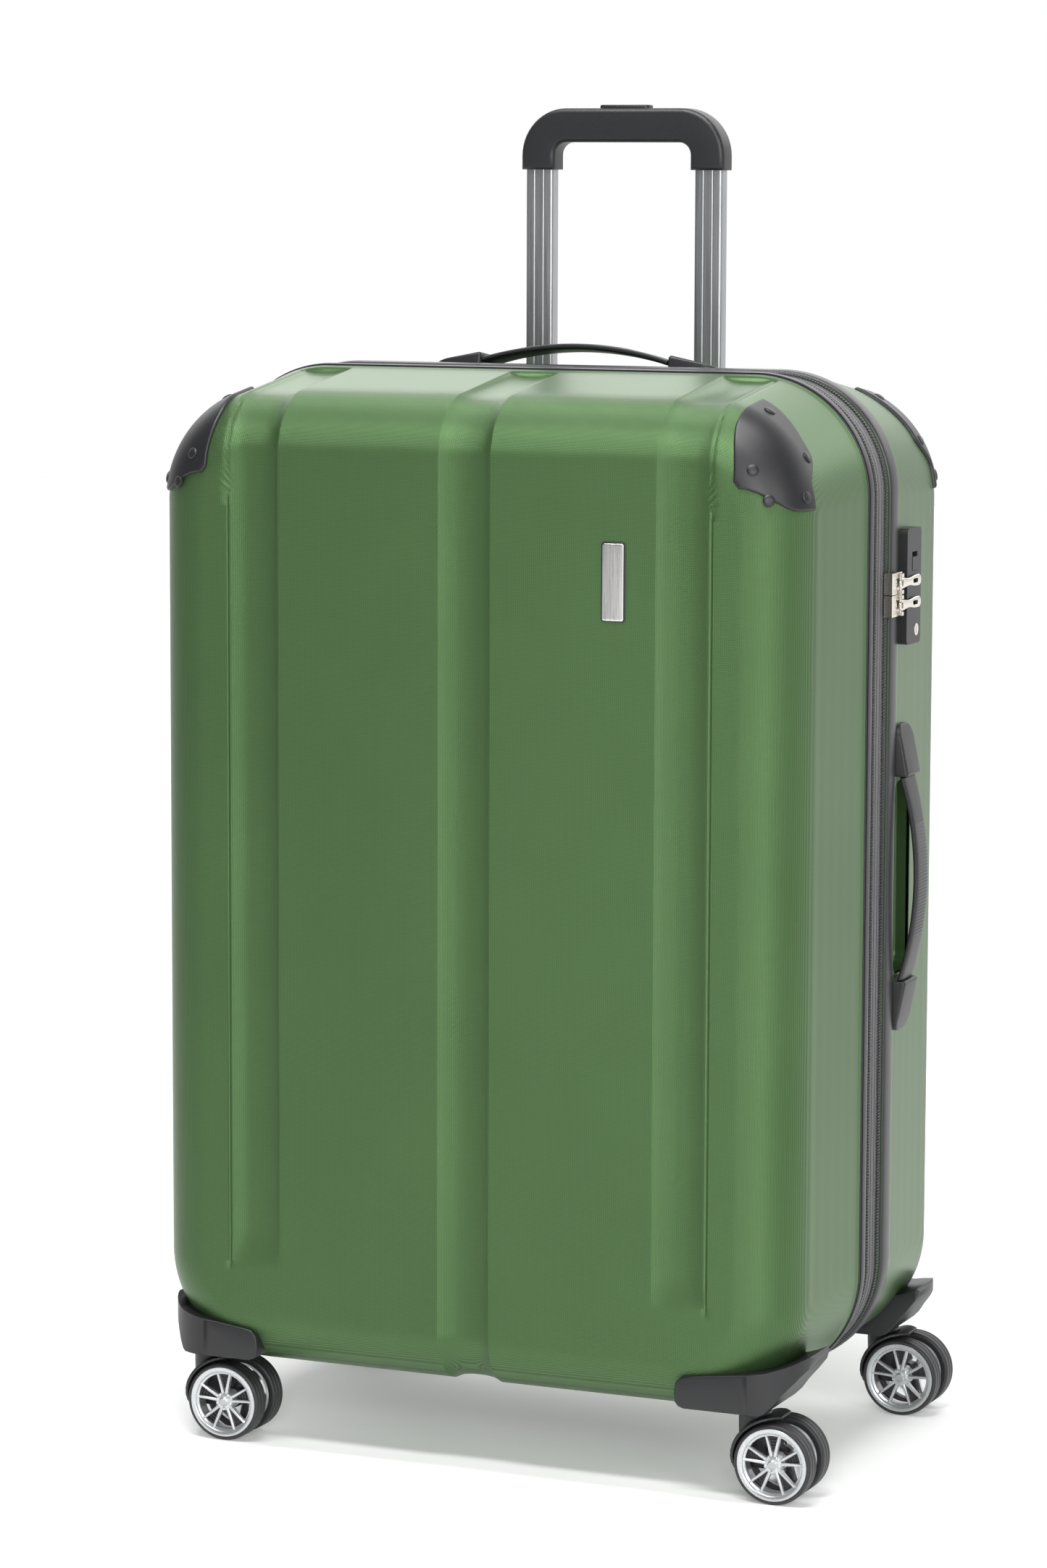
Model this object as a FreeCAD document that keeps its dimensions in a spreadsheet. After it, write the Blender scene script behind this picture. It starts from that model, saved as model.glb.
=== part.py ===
import FreeCAD, Part
import math
import os
import re
import Sketcher
from FreeCAD import Placement, Rotation, Vector

# A hard shell suitcase on four twin-wheel casters, standing upright.
# The working frame has x to the right, y to the back and z up. x = 0 is the middle of the case,
# y = 0 the middle of its depth and z = 0 the floor. Each sub-part's Placement then moves it by
# shift_x and shift_y, which puts the origin under the middle of the whole object's box.

DIMENSIONS = {
    "shift_x": (-7.7, "from the middle of the case to the middle of the object's box"),
    "shift_y": (0.0, "the same, front to back"),
    "over": (1.0, "how far a cutting block runs past what it cuts"),
    "clearance": (10.0, "how far an outer cutting block stands clear of the shells"),
    "fit": (0.3, "gap round a part that drops into an opening"),
    "touch_gap": (0.2, "gap between parts that rest on one another"),
    "running_gap": (0.05, "radial clearance of a shaft in its bore"),
    # shells
    "half_width": (243.2, "half the shell's width at its rim"),
    "rim_bottom": (55.0, "height of the shell's underside at the rim"),
    "rim_top": (752.8, "height of the shell's top at the rim"),
    "rim_corner": (82.0, "corner radius of the rim"),
    "straight_end": (30.0, "depth at which the shells start to taper"),
    "face": (156.0, "depth of the front and back faces"),
    "side_taper": (6.2, "how far each side leans in at the face"),
    "top_taper": (17.8, "how far the top slopes down at the face"),
    "bottom_taper": (2.0, "how far the underside rises at the face"),
    "corner_taper": (7.0, "how much smaller the corner radius is at the face"),
    "face_round": (38.0, "radius between the sides and the face"),
    "wall": (2.4, "thickness of the moulded shell"),
    "front_rim": (20.0, "depth of the front shell's rim"),
    "back_rim": (14.0, "depth of the back shell's rim"),
    "bead_proud": (2.2, "how far the rubber beads stand out of the shells"),
    # finger wells
    "well_front": (31.4, "depth at which the finger wells start"),
    "well_back": (72.0, "depth at which the finger wells end"),
    "well_half": (68.0, "half the length of a finger well"),
    "well_corner": (12.0, "corner radius of a finger well"),
    "side_well_deep": (15.0, "how deep the side finger well goes in"),
    "top_well_deep": (20.0, "how deep the top finger well goes in"),
    # zips and fabric
    "tape_inset": (0.6, "how far the zip tapes lie inside the shells' surface"),
    "tape_wall": (2.5, "thickness of the zip tapes"),
    "teeth_proud": (1.2, "height of the zip teeth above their tape"),
    "teeth_reach": (1.7, "from a zip's line to the far side of its teeth"),
    "main_zip": (7.0, "depth of the main zip's line"),
    "expansion_zip": (13.7, "depth of the expansion zip's line, in front of the middle"),
    "zip_gap": (0.3, "half the gap between the two sides of a zip"),
    "hinge_low": (170.0, "height of the hinge strip's lower end"),
    "hinge_high": (640.0, "height of the hinge strip's upper end"),
    "hinge_in": (0.7, "from the rim's side to the hinge strip"),
    "hinge_out": (1.9, "from the rim's side to the hinge strip's outside"),
    "lining_gap": (0.6, "gap between a shell and its lining"),
    "lining_thick": (1.2, "thickness of a lining"),
    "lining_back": (123.0, "depth of the false wall in front of the trolley tubes"),
    "room": (4.0, "margin round what passes through the back lining"),
    "strap_long": (560.0, "length of a packing strap"),
    "strap_wide": (30.0, "width of a packing strap"),
    "strap_thick": (1.6, "thickness of a packing strap"),
    "strap_set": (4.0, "from a shell's rim to its straps"),
    "buckle_half": (32.0, "half the buckle's length"),
    "buckle_high": (20.0, "half the buckle's height"),
    "buckle_proud": (2.0, "how far the buckle stands out of the straps"),
    # corner guards
    "guard_thick": (2.2, "thickness of the corner guards"),
    "guard_low": (669.0, "height of a guard's lower end"),
    "guard_depth": (96.0, "depth at which a guard starts, over the corner"),
    "guard_side": (121.0, "depth at which its lower end starts"),
    "guard_notch": (694.0, "height up to which its lower end is narrow"),
    "guard_top_edge": (182.0, "its inner end on the top, from the middle"),
    "guard_face_edge": (194.0, "its inner edge on the face, from the middle"),
    "guard_fold_edge": (211.0, "its inner edge below the face part, from the middle"),
    "guard_face_low": (684.0, "height of the face part's lower edge"),
    "rivet_r": (4.2, "radius of a guard rivet's head"),
    "rivet_long": (4.8, "length of a guard rivet"),
    "face_rivet_x": (200.5, "a face rivet, from the middle"),
    "face_rivet_z": (692.0, "height of a face rivet"),
    # trolley
    "tube_x": (65.6, "centre of a trolley tube"),
    "tube_y": (128.8, "depth of the trolley tubes"),
    "tube_wide": (21.0, "trolley tube, side to side"),
    "tube_deep": (12.0, "trolley tube, front to back"),
    "tube_wall": (1.3, "wall of a trolley tube"),
    "tube_foot": (304.0, "height of the trolley tubes' lower ends"),
    "sleeve_wall": (1.5, "wall of the fixed outer tubes"),
    "grip_base": (891.0, "height of the trolley grip's lower edge"),
    "grip_under": (910.6, "height of the underside of the grip's bar"),
    "grip_top": (935.0, "height of the grip's top"),
    "grip_half": (78.5, "half the grip's width"),
    "grip_deep": (10.0, "half the grip's depth"),
    "grip_corner": (34.0, "radius of the grip's upper corners"),
    "gap_corner": (9.0, "radius of the hand gap's upper corners"),
    "leg_half": (13.0, "from a tube's centre to the hand gap"),
    "socket_deep": (13.0, "how far a tube goes into the grip"),
    "rod_r": (1.5, "radius of a release rod"),
    "rod_room": (2.0, "radius of a release rod's passage"),
    "rod_foot": (8.0, "from a tube's lower end up to its release rod"),
    "bar_base": (8.0, "height of the release bar over the grip's underside"),
    "bar_high": (5.3, "height of the release bar"),
    "bar_deep": (3.0, "half the release bar's depth"),
    "bar_end": (2.0, "how far the release bar passes the tubes' centres"),
    "press": (4.0, "room under the release bar"),
    "button_half": (19.0, "half the button's length"),
    "button_deep": (6.0, "half the button's depth"),
    "button_proud": (2.5, "how far the button stands out of the grip"),
    "cup_floor": (698.0, "height of the floor of the trolley cup"),
    "cup_half": (88.0, "half the trolley cup's width"),
    "cup_front": (110.5, "depth of the cup's front"),
    "cup_back": (147.0, "depth of the cup's back"),
    "cup_wall": (2.6, "wall of the cup"),
    "cup_proud": (1.2, "how far the cup's rim stands out of the shell"),
    "foot_half": (90.0, "half the trolley foot's width"),
    "foot_deep": (8.5, "half the trolley foot's depth"),
    "foot_low": (100.0, "height of the trolley foot's underside"),
    "foot_top": (112.0, "height of the trolley foot's top"),
    "tab_top": (150.0, "height of the foot's mounting tab"),
    # carry handles
    "handle_y": (47.0, "depth of the carry handles' middle line"),
    "handle_mid": (402.5, "height of the side handle's middle"),
    "handle_half": (71.2, "half the carry grip's length"),
    "grip_band": (30.0, "width of the carry grips"),
    "band_thick": (4.5, "thickness of a carry grip"),
    "band_rise": (10.5, "how far a carry grip arches"),
    "band_foot": (5.0, "height of its middle line where it meets the caps"),
    "seam_gap": (0.4, "gap between a carry grip and a cap"),
    "tongue_half": (11.0, "half the width of a grip's tongue"),
    "tongue_low": (1.4, "height of a tongue's underside over the shell"),
    "tongue_high": (3.9, "height of a tongue's top over the shell"),
    "tongue_in": (66.0, "where a tongue starts, from the grip's middle"),
    "tongue_out": (95.0, "where a tongue ends, from the grip's middle"),
    "cap_long": (36.8, "length of a carry handle's end cap"),
    "cap_high": (10.4, "height of a cap at its seam"),
    "cap_sink": (6.0, "how far a cap's blank runs under the shell"),
    "cap_roof": (1.4, "thickness of a cap over its tongue"),
    "cap_bend": (78.0, "where a cap starts to slope down, from the middle"),
    "cap_slope": (14.0, "how steeply it slopes, in degrees"),
    "cap_block": (60.0, "size of the block that cuts the slope"),
    # lock
    "lock_low": (566.0, "height of the lock's lower end"),
    "lock_high": (646.5, "height of the lock's upper end"),
    "lock_front": (34.5, "depth of the lock's front edge"),
    "lock_back": (63.5, "depth of the lock's back edge"),
    "lock_face": (249.8, "the lock's outer face, from the middle of the case"),
    "lock_round": (4.0, "corner radius of the lock's face"),
    "lock_edge": (4.5, "from the lock's edge to its inner body, at the ends"),
    "lock_sink": (6.0, "how far the lock's face runs in beside the shell"),
    "lock_rim": (3.5, "the same, front and back"),
    "lock_deep": (20.0, "depth of the lock's inner body"),
    "chamber_wall": (3.0, "wall round the lock's chamber"),
    "chamber_low": (586.0, "height of the chamber's floor"),
    "chamber_high": (631.0, "height of the chamber's top"),
    "chamber_front": (44.0, "depth of the chamber's front"),
    "chamber_back": (57.0, "depth of the chamber's back"),
    "slot_apart": (8.0, "height of a pull's slot from where the sliders meet"),
    "slot_half": (2.6, "half a slot's height"),
    "slot_front": (47.0, "depth at which a slot starts"),
    "slot_back": (60.0, "depth at which a slot ends"),
    "slot_deep": (4.0, "how deep the slots are"),
    "slot_corner": (2.0, "corner radius of a slot"),
    "latch_low": (617.0, "height of the latch button's lower end"),
    "latch_high": (626.5, "height of the latch button's upper end"),
    "latch_mid": (50.0, "depth of the latch button's middle"),
    "latch_half": (5.0, "half the latch button's width"),
    "latch_run": (3.5, "room above the latch button"),
    "latch_proud": (0.3, "how far the latch button stands out"),
    "bar_half": (3.0, "half the latch bar's width"),
    "bar_foot": (588.0, "height of the latch bar's lower end"),
    "key_y": (54.5, "depth of the key barrel"),
    "key_z": (575.5, "height of the key barrel"),
    "key_r": (4.2, "radius of the key barrel"),
    "key_long": (14.9, "length of the key barrel"),
    "key_proud": (0.3, "how far the key barrel stands out"),
    "keyway_half": (0.4, "half the keyway's width"),
    "keyway_high": (2.6, "half the keyway's height"),
    # zip sliders and pulls
    "slider_meet": (602.7, "height at which the two zip sliders meet"),
    "slider_long": (15.0, "length of a zip slider"),
    "slider_half": (4.5, "half a slider's width"),
    "slider_in": (1.0, "from the rim's side to a slider's inside"),
    "slider_out": (6.8, "from the rim's side to a slider's outside"),
    "plate_in": (4.3, "from the rim's side to a slider's side plate"),
    "plate_out": (5.8, "from the rim's side to the plate's outside"),
    "plate_end": (19.0, "from the zip's line to the plate's end"),
    "ear_in": (8.0, "from the zip's line to an ear"),
    "ear_out": (12.0, "from the zip's line to an ear's far side"),
    "ear_high": (2.6, "thickness of an ear"),
    "ear_edge": (0.5, "from a slider's end to its first ear"),
    "ear_top": (9.7, "from the rim's side to an ear's end"),
    "pin_y": (10.0, "from the zip's line to a pull's pin"),
    "pin_x": (7.8, "from the rim's side to a pull's pin"),
    "pin_r": (0.9, "radius of a pull's pin"),
    "eye_r": (1.8, "radius of a pull's eye"),
    "eye_start": (3.6, "from the meeting line to a pull's eye"),
    "eye_end": (11.6, "from the meeting line to the eye's far end"),
    "arm_start": (6.2, "from the meeting line to a pull's arm"),
    "arm_end": (9.6, "from the meeting line to the arm's far side"),
    "arm_half": (0.9, "half the arm's thickness"),
    "arm_reach": (50.5, "from the zip's line to the arm's end"),
    # nameplate
    "badge_left": (100.6, "left edge of the nameplate"),
    "badge_right": (117.8, "right edge of the nameplate"),
    "badge_low": (592.4, "height of the nameplate's lower edge"),
    "badge_high": (646.0, "height of the nameplate's upper edge"),
    "badge_proud": (1.5, "how far the nameplate stands out of the face"),
    "badge_corner": (1.5, "corner radius of the nameplate"),
    # casters
    "swivel_x": (206.5, "caster swivel axis, from the middle of the case"),
    "swivel_y": (130.45, "half the distance between the front and back swivel axes"),
    "swivel_shift": (0.6, "how far forward of the middle the casters stand as a set"),
    "neck_r": (11.5, "radius of a caster fork's neck"),
    "stem_r": (6.0, "radius of a caster's swivel stem"),
    "stem_in": (8.0, "how far the stem goes into its housing"),
    "neck_low": (34.0, "height of the neck's lower end"),
    "housing_base": (60.5, "height of the caster housings' underside"),
    "housing_gap": (0.4, "gap between a housing and its fork's neck"),
    "housing_inner": (154.0, "a housing's inner end, from the middle"),
    "housing_outer": (246.0, "a housing's outer side, from the middle"),
    "housing_front": (92.0, "depth at which a housing starts"),
    "housing_top": (92.0, "height of a housing's top"),
    "housing_proud": (3.4, "how far a housing stands out of the face"),
    "housing_end": (14.0, "corner radius of a housing's inner end"),
    "housing_low": (40.0, "radius of its lower corner"),
    "housing_side": (41.0, "radius of its upright corner"),
    "far": (300.0, "beyond the whole case"),
    "trail": (19.3, "from a swivel axis to its axle"),
    "tyre_r": (27.6, "wheel radius"),
    "tyre_edge": (2.0, "radius of a tyre's shoulders"),
    "rim_r": (22.4, "radius where the tyre sits on the rim"),
    "rim_wall": (2.2, "thickness of the rim's ring"),
    "axle_r": (3.0, "axle radius"),
    "wheel_in": (6.4, "from the swivel axis to a wheel's inner side"),
    "wheel_out": (20.6, "from the swivel axis to a wheel's outer side"),
    "wheel_room": (1.0, "room between a wheel and its fork"),
    "web_half": (4.8, "half the thickness of a fork's web"),
    "web_back": (8.0, "from the swivel axis to the web's back"),
    "web_low": (20.0, "height of the web's underside"),
    "web_high": (44.0, "height of the web's top"),
    "boss_r": (7.6, "radius of a fork's axle boss"),
    "axle_short": (0.4, "how far an axle's end lies inside the wheel"),
    "hub_r": (7.0, "radius of a wheel's hub"),
    "spoke_from": (5.0, "where a spoke starts, from the axle"),
    "spoke_long": (17.0, "length of a spoke"),
    "spoke_deep": (4.0, "depth of a spoke along the axle"),
    "spoke_wide": (2.2, "width of a spoke"),
    "spoke_set": (1.0, "from a wheel's outer side to its spokes"),
}

doc = FreeCAD.newDocument("suitcase")
sheet = doc.addObject("Spreadsheet::Sheet", "Dims")
for row, (alias, (value, meaning)) in enumerate(DIMENSIONS.items(), start=1):
    sheet.set(f"A{row}", alias)
    sheet.set(f"B{row}", str(value))
    sheet.set(f"C{row}", meaning)
    sheet.setAlias(f"B{row}", alias)
doc.recompute()

nodes = {}


def bound(text):
    """The expression with each dimension's name given its sheet."""
    return re.sub(r"[a-z][a-z_]+", lambda m: "Dims." + m[0] if m[0] in DIMENSIONS else m[0], str(text))


def bind(thing, **sizes):
    for name, text in sizes.items():
        thing.setExpression(name.replace("_", "."), bound(text))


def put(thing, corner):
    for axis, text in zip("xyz", corner):
        thing.setExpression(f".Placement.Base.{axis}", bound(text))


def box(name, low, high):
    """A block between two corners, each a triple of expressions."""
    thing = doc.addObject("Part::Box", name)
    for size, a, b in zip(("Length", "Width", "Height"), low, high):
        thing.setExpression(size, bound(f"({b}) - ({a})"))
    put(thing, low)
    return thing


AXIS_TURN = {
    "x": Rotation(Vector(0, 1, 0), 90),
    "y": Rotation(Vector(1, 0, 0), -90),
    "z": Rotation(),
}


def rod(name, axis, radius, start, length):
    """A cylinder from start along an axis."""
    thing = doc.addObject("Part::Cylinder", name)
    thing.Placement = Placement(Vector(), AXIS_TURN[axis])
    bind(thing, Radius=radius, Height=length)
    put(thing, start)
    return thing


def cut(name, base, tool):
    thing = doc.addObject("Part::Cut", name)
    thing.Base = base
    thing.Tool = tool
    return thing


def common(name, base, tool):
    thing = doc.addObject("Part::Common", name)
    thing.Base = base
    thing.Tool = tool
    return thing


def fuse(name, *pieces):
    thing = doc.addObject("Part::MultiFuse", name)
    thing.Shapes = list(pieces)
    return thing


def group(name, *pieces):
    """Separate solids in one sub-part."""
    thing = doc.addObject("Part::Compound", name)
    thing.Links = list(pieces)
    return thing


def node(label, thing):
    """Names a sub-part and moves it into the object's frame."""
    thing.Label = label
    for axis in "xy":
        old = [text for path, text in thing.ExpressionEngine if path == f".Placement.Base.{axis}"]
        start = old[0] if old else repr(getattr(thing.Placement.Base, axis))
        thing.setExpression(f".Placement.Base.{axis}", f"{start} + {bound('shift_' + axis)}")
    nodes[label] = thing
    return thing


# ---------------------------------------------------------------- sketches and bodies

SKETCH_PLANES = {"x": ("YZ_Plane", 1), "y": ("XZ_Plane", -1), "z": ("XY_Plane", 1)}


def sketch_on(body, name, axis, level):
    """A sketch square to an axis, at a level along it."""
    role, sense = SKETCH_PLANES[axis]
    plane = next(f for f in body.Origin.OriginFeatures if f.Role == role)
    sketch = body.newObject("Sketcher::SketchObject", name)
    sketch.AttachmentSupport = (plane, [""])
    sketch.MapMode = "FlatFace"
    sketch.setExpression(".AttachmentOffset.Base.z", bound(f"({level}) * {sense}"))
    return sketch


def value_of(text):
    """What an expression of the sheet's dimensions comes to, for a sketch's first drawing."""
    sizes = {alias: size for alias, (size, meaning) in DIMENSIONS.items()}
    words = re.sub(r"[a-z][a-z_]+", lambda m: repr(sizes[m[0]]) if m[0] in sizes else m[0], str(text))
    return float(doc.getObject("Dims").evalExpression(words))


def rounded_rectangle(sketch, left, right, bottom, top, radius):
    """Four lines and four arcs, each side's place and the radius bound to the sheet."""
    x0, x1, y0, y1, r = (value_of(text) for text in (left, right, bottom, top, radius))
    corners = [(x1 - r, y1 - r), (x0 + r, y1 - r), (x0 + r, y0 + r), (x1 - r, y0 + r)]
    for turn, (cx, cy) in enumerate(corners):
        circle = Part.Circle(Vector(cx, cy, 0), Vector(0, 0, 1), r)
        sketch.addGeometry(Part.ArcOfCircle(circle, turn * math.pi / 2, (turn + 1) * math.pi / 2))
    ends = [
        ((x1 - r, y1), (x0 + r, y1)),
        ((x0, y1 - r), (x0, y0 + r)),
        ((x0 + r, y0), (x1 - r, y0)),
        ((x1, y0 + r), (x1, y1 - r)),
    ]
    for (ax, ay), (bx, by) in ends:
        sketch.addGeometry(Part.LineSegment(Vector(ax, ay, 0), Vector(bx, by, 0)))
    for arc in range(4):
        sketch.addConstraint(Sketcher.Constraint("Tangent", arc, 2, 4 + arc, 1))
        sketch.addConstraint(Sketcher.Constraint("Tangent", 4 + arc, 2, (arc + 1) % 4, 1))
        sketch.addConstraint(Sketcher.Constraint(("Horizontal", "Vertical")[arc % 2], 4 + arc))
    for arc in (1, 2, 3):
        sketch.addConstraint(Sketcher.Constraint("Equal", 0, arc))
    sides = [
        ("top", "DistanceY", 4, top, y1),
        ("left", "DistanceX", 5, left, x0),
        ("bottom", "DistanceY", 6, bottom, y0),
        ("right", "DistanceX", 7, right, x1),
    ]
    for name, kind, line, text, value in sides:
        index = sketch.addConstraint(Sketcher.Constraint(kind, -1, 1, line, 1, value))
        sketch.renameConstraint(index, name)
        sketch.setExpression(f"Constraints.{name}", bound(text))
    index = sketch.addConstraint(Sketcher.Constraint("Radius", 0, r))
    sketch.renameConstraint(index, "radius")
    sketch.setExpression("Constraints.radius", bound(radius))


def slab(name, axis, start, end, left, right, bottom, top, radius):
    """A plate with rounded corners, square to an axis."""
    body = doc.addObject("PartDesign::Body", name)
    sketch = sketch_on(body, name + "_outline", axis, end if axis == "y" else start)
    rounded_rectangle(sketch, left, right, bottom, top, radius)
    pad = body.newObject("PartDesign::Pad", name + "_pad")
    pad.Profile = sketch
    pad.setExpression("Length", bound(f"({end}) - ({start})"))
    return body


ROUND_STEPS = (0, 22.5, 45, 67.5, 90)


def tray(name, side, rim, grow="0", face="face"):
    """Half a case as a solid block: straight from its rim, then tapered, then rounded to its face.

    side is -1 at the front and 1 at the back. grow offsets every surface outwards.
    """
    body = doc.addObject("PartDesign::Body", name)
    levels = [(rim, "0"), ("straight_end", "0")]
    for angle in ROUND_STEPS:
        bend = f"(face_round + {grow})"
        level = f"{face} + {grow} - {bend} * (1 - sin({angle}))"
        levels.append((level, f"{bend} * (1 - cos({angle}))"))
    sketches = []
    for index, (level, inset) in enumerate(levels):
        part = f"max(0; (({level}) - straight_end) / (face - straight_end))"
        half = f"half_width + {grow} - side_taper * {part} - {inset}"
        bottom = f"rim_bottom - ({grow}) + bottom_taper * {part} + {inset}"
        top = f"rim_top + {grow} - top_taper * {part} - {inset}"
        radius = f"rim_corner + {grow} - corner_taper * {part} - {inset}"
        sketch = sketch_on(body, f"{name}_section_{index}", "y", f"{side} * ({level})")
        rounded_rectangle(sketch, f"-({half})", half, bottom, top, radius)
        sketches.append(sketch)
    loft = body.newObject("PartDesign::AdditiveLoft", name + "_loft")
    loft.Profile = (sketches[0], [""])
    loft.Sections = [(sketch, [""]) for sketch in sketches[1:]]
    loft.Ruled = True
    return body


def ordered(sign, near, far):
    """Two distances from the middle as a low and a high place, on the side given by sign."""
    if sign > 0:
        return f"({near})", f"({far})"
    return f"-({far})", f"-({near})"


def mirrored_box(name, sx, sy, low, high):
    """A block given for the right and the back, mirrored by the signs sx and sy."""
    x0, x1 = ordered(sx, low[0], high[0])
    y0, y1 = ordered(sy, low[1], high[1])
    return box(name, (x0, y0, low[2]), (x1, y1, high[2]))


def ring(name, front, back, proud, thick):
    """A band round the case between two depths, its outside proud of the shell's surface."""
    shapes = []
    for part, out in (("outside", proud), ("inside", f"({proud}) - ({thick})")):
        half = f"half_width + ({out})"
        low, high = f"rim_bottom - ({out})", f"rim_top + ({out})"
        margin = "0" if part == "outside" else "over"
        shapes.append(slab(f"{name}_{part}", "y", f"({front}) - {margin}", f"({back}) + {margin}",
                           f"-({half})", half, low, high, f"rim_corner + ({out})"))
    return cut(name, *shapes)

# ---------------------------------------------------------------- shells

HALVES = {"front": (-1, "front_rim"), "back": (1, "back_rim")}

outside = {}
shell_blank = {}
for half, (side, rim) in HALVES.items():
    outside[half] = tray(f"{half}_outside", side, rim)
    hollow = tray(f"{half}_hollow", side, f"{rim} - over", "(-wall)")
    shell_blank[half] = cut(f"{half}_shell_blank", outside[half], hollow)

node("front_shell", shell_blank["front"])

# Finger wells under the two carry handles: a pan joined to the shell's inside, then hollowed.
pan_front, pan_back = "well_front - wall", "well_back + wall"
side_pan = box("side_pan", ("half_width - side_well_deep - wall", pan_front, "handle_mid - well_half - wall"),
               ("half_width", pan_back, "handle_mid + well_half + wall"))
side_well = slab("side_well", "x", "half_width - side_well_deep", "half_width + clearance", "well_front",
                 "well_back", "handle_mid - well_half", "handle_mid + well_half", "well_corner")
top_pan = box("top_pan", ("-well_half - wall", pan_front, "rim_top - top_well_deep - wall"),
              ("well_half + wall", pan_back, "rim_top"))
top_well = slab("top_well", "z", "rim_top - top_well_deep", "rim_top + clearance", "-well_half", "well_half",
                "well_front", "well_back", "well_corner")
pans = common("handle_pans", fuse("pan_blocks", side_pan, top_pan), outside["back"])

# Cut-outs: the trolley cup at the top and the lock's inner body at the side.
lock_body = {
    "front": "lock_front + lock_rim",
    "back": "lock_back - lock_rim",
    "low": "lock_low + lock_edge",
    "high": "lock_high - lock_edge",
}
cup_hole = box("cup_hole", ("-cup_half - fit", "cup_front - fit", "cup_floor - clearance"),
               ("cup_half + fit", "cup_back + fit", "rim_top + clearance"))
lock_hole = box("lock_hole",
                ("half_width - clearance", f"{lock_body['front']} - fit", f"{lock_body['low']} - fit"),
                ("half_width + clearance", f"{lock_body['back']} + fit", f"{lock_body['high']} + fit"))
back_openings = fuse("back_openings", side_well, top_well, cup_hole, lock_hole)
back_solid = fuse("back_solid", shell_blank["back"], pans)
node("back_shell", cut("back_shell_cut", back_solid, back_openings))

# Rubber beads that bind the shells' rims.
node("front_gasket", ring("front_bead", "-straight_end", "-front_rim", "bead_proud", "bead_proud"))
node("back_gasket", ring("back_bead", "back_rim", "straight_end", "bead_proud", "bead_proud"))

# ---------------------------------------------------------------- zips, gusset and fabric

tape = "-tape_inset"
teeth = "teeth_proud - tape_inset"
teeth_thick = "tape_wall + teeth_proud"


def zip_side(name, tape_front, tape_back, teeth_front, teeth_back):
    """One side of a zip: the tape and the row of teeth along its edge, both round the case."""
    band = ring(name + "_tape", tape_front, tape_back, tape, "tape_wall")
    row = ring(name + "_teeth", teeth_front, teeth_back, teeth, teeth_thick)
    return fuse(name, band, row)


node("main_zip_tape", zip_side("main_zip_back", "main_zip + zip_gap", "back_rim - touch_gap",
                               "main_zip + zip_gap", "main_zip + teeth_reach"))
node("front_zip_tape", zip_side("expansion_front", "-(front_rim - touch_gap)", "-(expansion_zip + zip_gap)",
                                "-(expansion_zip + teeth_reach)", "-(expansion_zip + zip_gap)"))

# The gusset band lies between the two zips and carries the other side of each.
band_middle = ring("band_middle", "-(expansion_zip - zip_gap)", "main_zip - zip_gap", tape, "tape_wall")
band_front = ring("band_front_teeth", "-(expansion_zip - zip_gap)", "-(expansion_zip - teeth_reach)",
                  teeth, teeth_thick)
band_back = ring("band_back_teeth", "main_zip - teeth_reach", "main_zip - zip_gap", teeth, teeth_thick)
node("gusset_band", fuse("gusset_band_all", band_middle, band_front, band_back))

# The strip that hinges the two halves, down the left side.
node("hinge_strip", box("hinge_cloth", ("-half_width - hinge_out", "main_zip + 2 * touch_gap", "hinge_low"),
                        ("-half_width - hinge_in", "back_rim - 2 * touch_gap", "hinge_high")))


def lining_tray(half, side, rim, depth):
    """A thin tray of cloth just inside a shell, its far wall at a depth of its own."""
    outer = tray(f"{half}_liner", side, f"{rim} + 2 * over", "(-wall - lining_gap)", depth)
    inner = tray(f"{half}_liner_hollow", side, f"{rim} + over", "(-wall - lining_gap - lining_thick)", depth)
    return cut(f"{half}_lining_tray", outer, inner)


node("front_lining", lining_tray("front", -1, "front_rim", "face"))

# The back lining leaves room for the finger wells, the lock's inner body and the trolley cup.
side_room = box("side_room",
                ("half_width - side_well_deep - 2 * wall", "back_rim", "handle_mid - well_half - room"),
                ("half_width", "well_back + room", "handle_mid + well_half + room"))
top_room = box("top_room", ("-well_half - room", "back_rim", "rim_top - top_well_deep - room"),
               ("well_half + room", "well_back + room", "rim_top"))
lock_room = box("lock_room", ("half_width - lock_deep - room", f"{lock_body['front']} - room",
                              f"{lock_body['low']} - room"),
                ("half_width", f"{lock_body['back']} + room", f"{lock_body['high']} + room"))
cup_room = box("cup_room", ("-cup_half - room", "cup_front - room", "cup_floor - room"),
               ("cup_half + room", "cup_back + room", "rim_top"))
lining_rooms = fuse("lining_rooms", side_room, top_room, lock_room, cup_room)
node("back_lining", cut("back_lining_cut", lining_tray("back", 1, "back_rim", "lining_back"), lining_rooms))

STRAP_LEAN = 42
mid_height = "(rim_bottom + rim_top) / 2"


def straps(name, depth_low, depth_high):
    """Two crossed packing straps with a buckle where they meet."""
    bands = []
    for turn in (-STRAP_LEAN, STRAP_LEAN):
        lean = Rotation(Vector(0, 1, 0), turn)
        along = lean.multVec(Vector(0.5, 0, 0))
        across = lean.multVec(Vector(0, 0, 0.5))
        band = doc.addObject("Part::Box", f"{name}_band")
        band.Placement = Placement(Vector(), lean)
        bind(band, Length="strap_long", Width=f"{depth_high} - ({depth_low})", Height="strap_wide")
        put(band, (
            f"-({along.x}) * strap_long - ({across.x}) * strap_wide",
            depth_low,
            f"{mid_height} - ({along.z}) * strap_long - ({across.z}) * strap_wide",
        ))
        bands.append(band)
    buckle = box(f"{name}_buckle",
                 ("-buckle_half", f"{depth_low} - buckle_proud", f"{mid_height} - buckle_high"),
                 ("buckle_half", f"{depth_high} + buckle_proud", f"{mid_height} + buckle_high"))
    return fuse(name, *bands, buckle)


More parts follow.
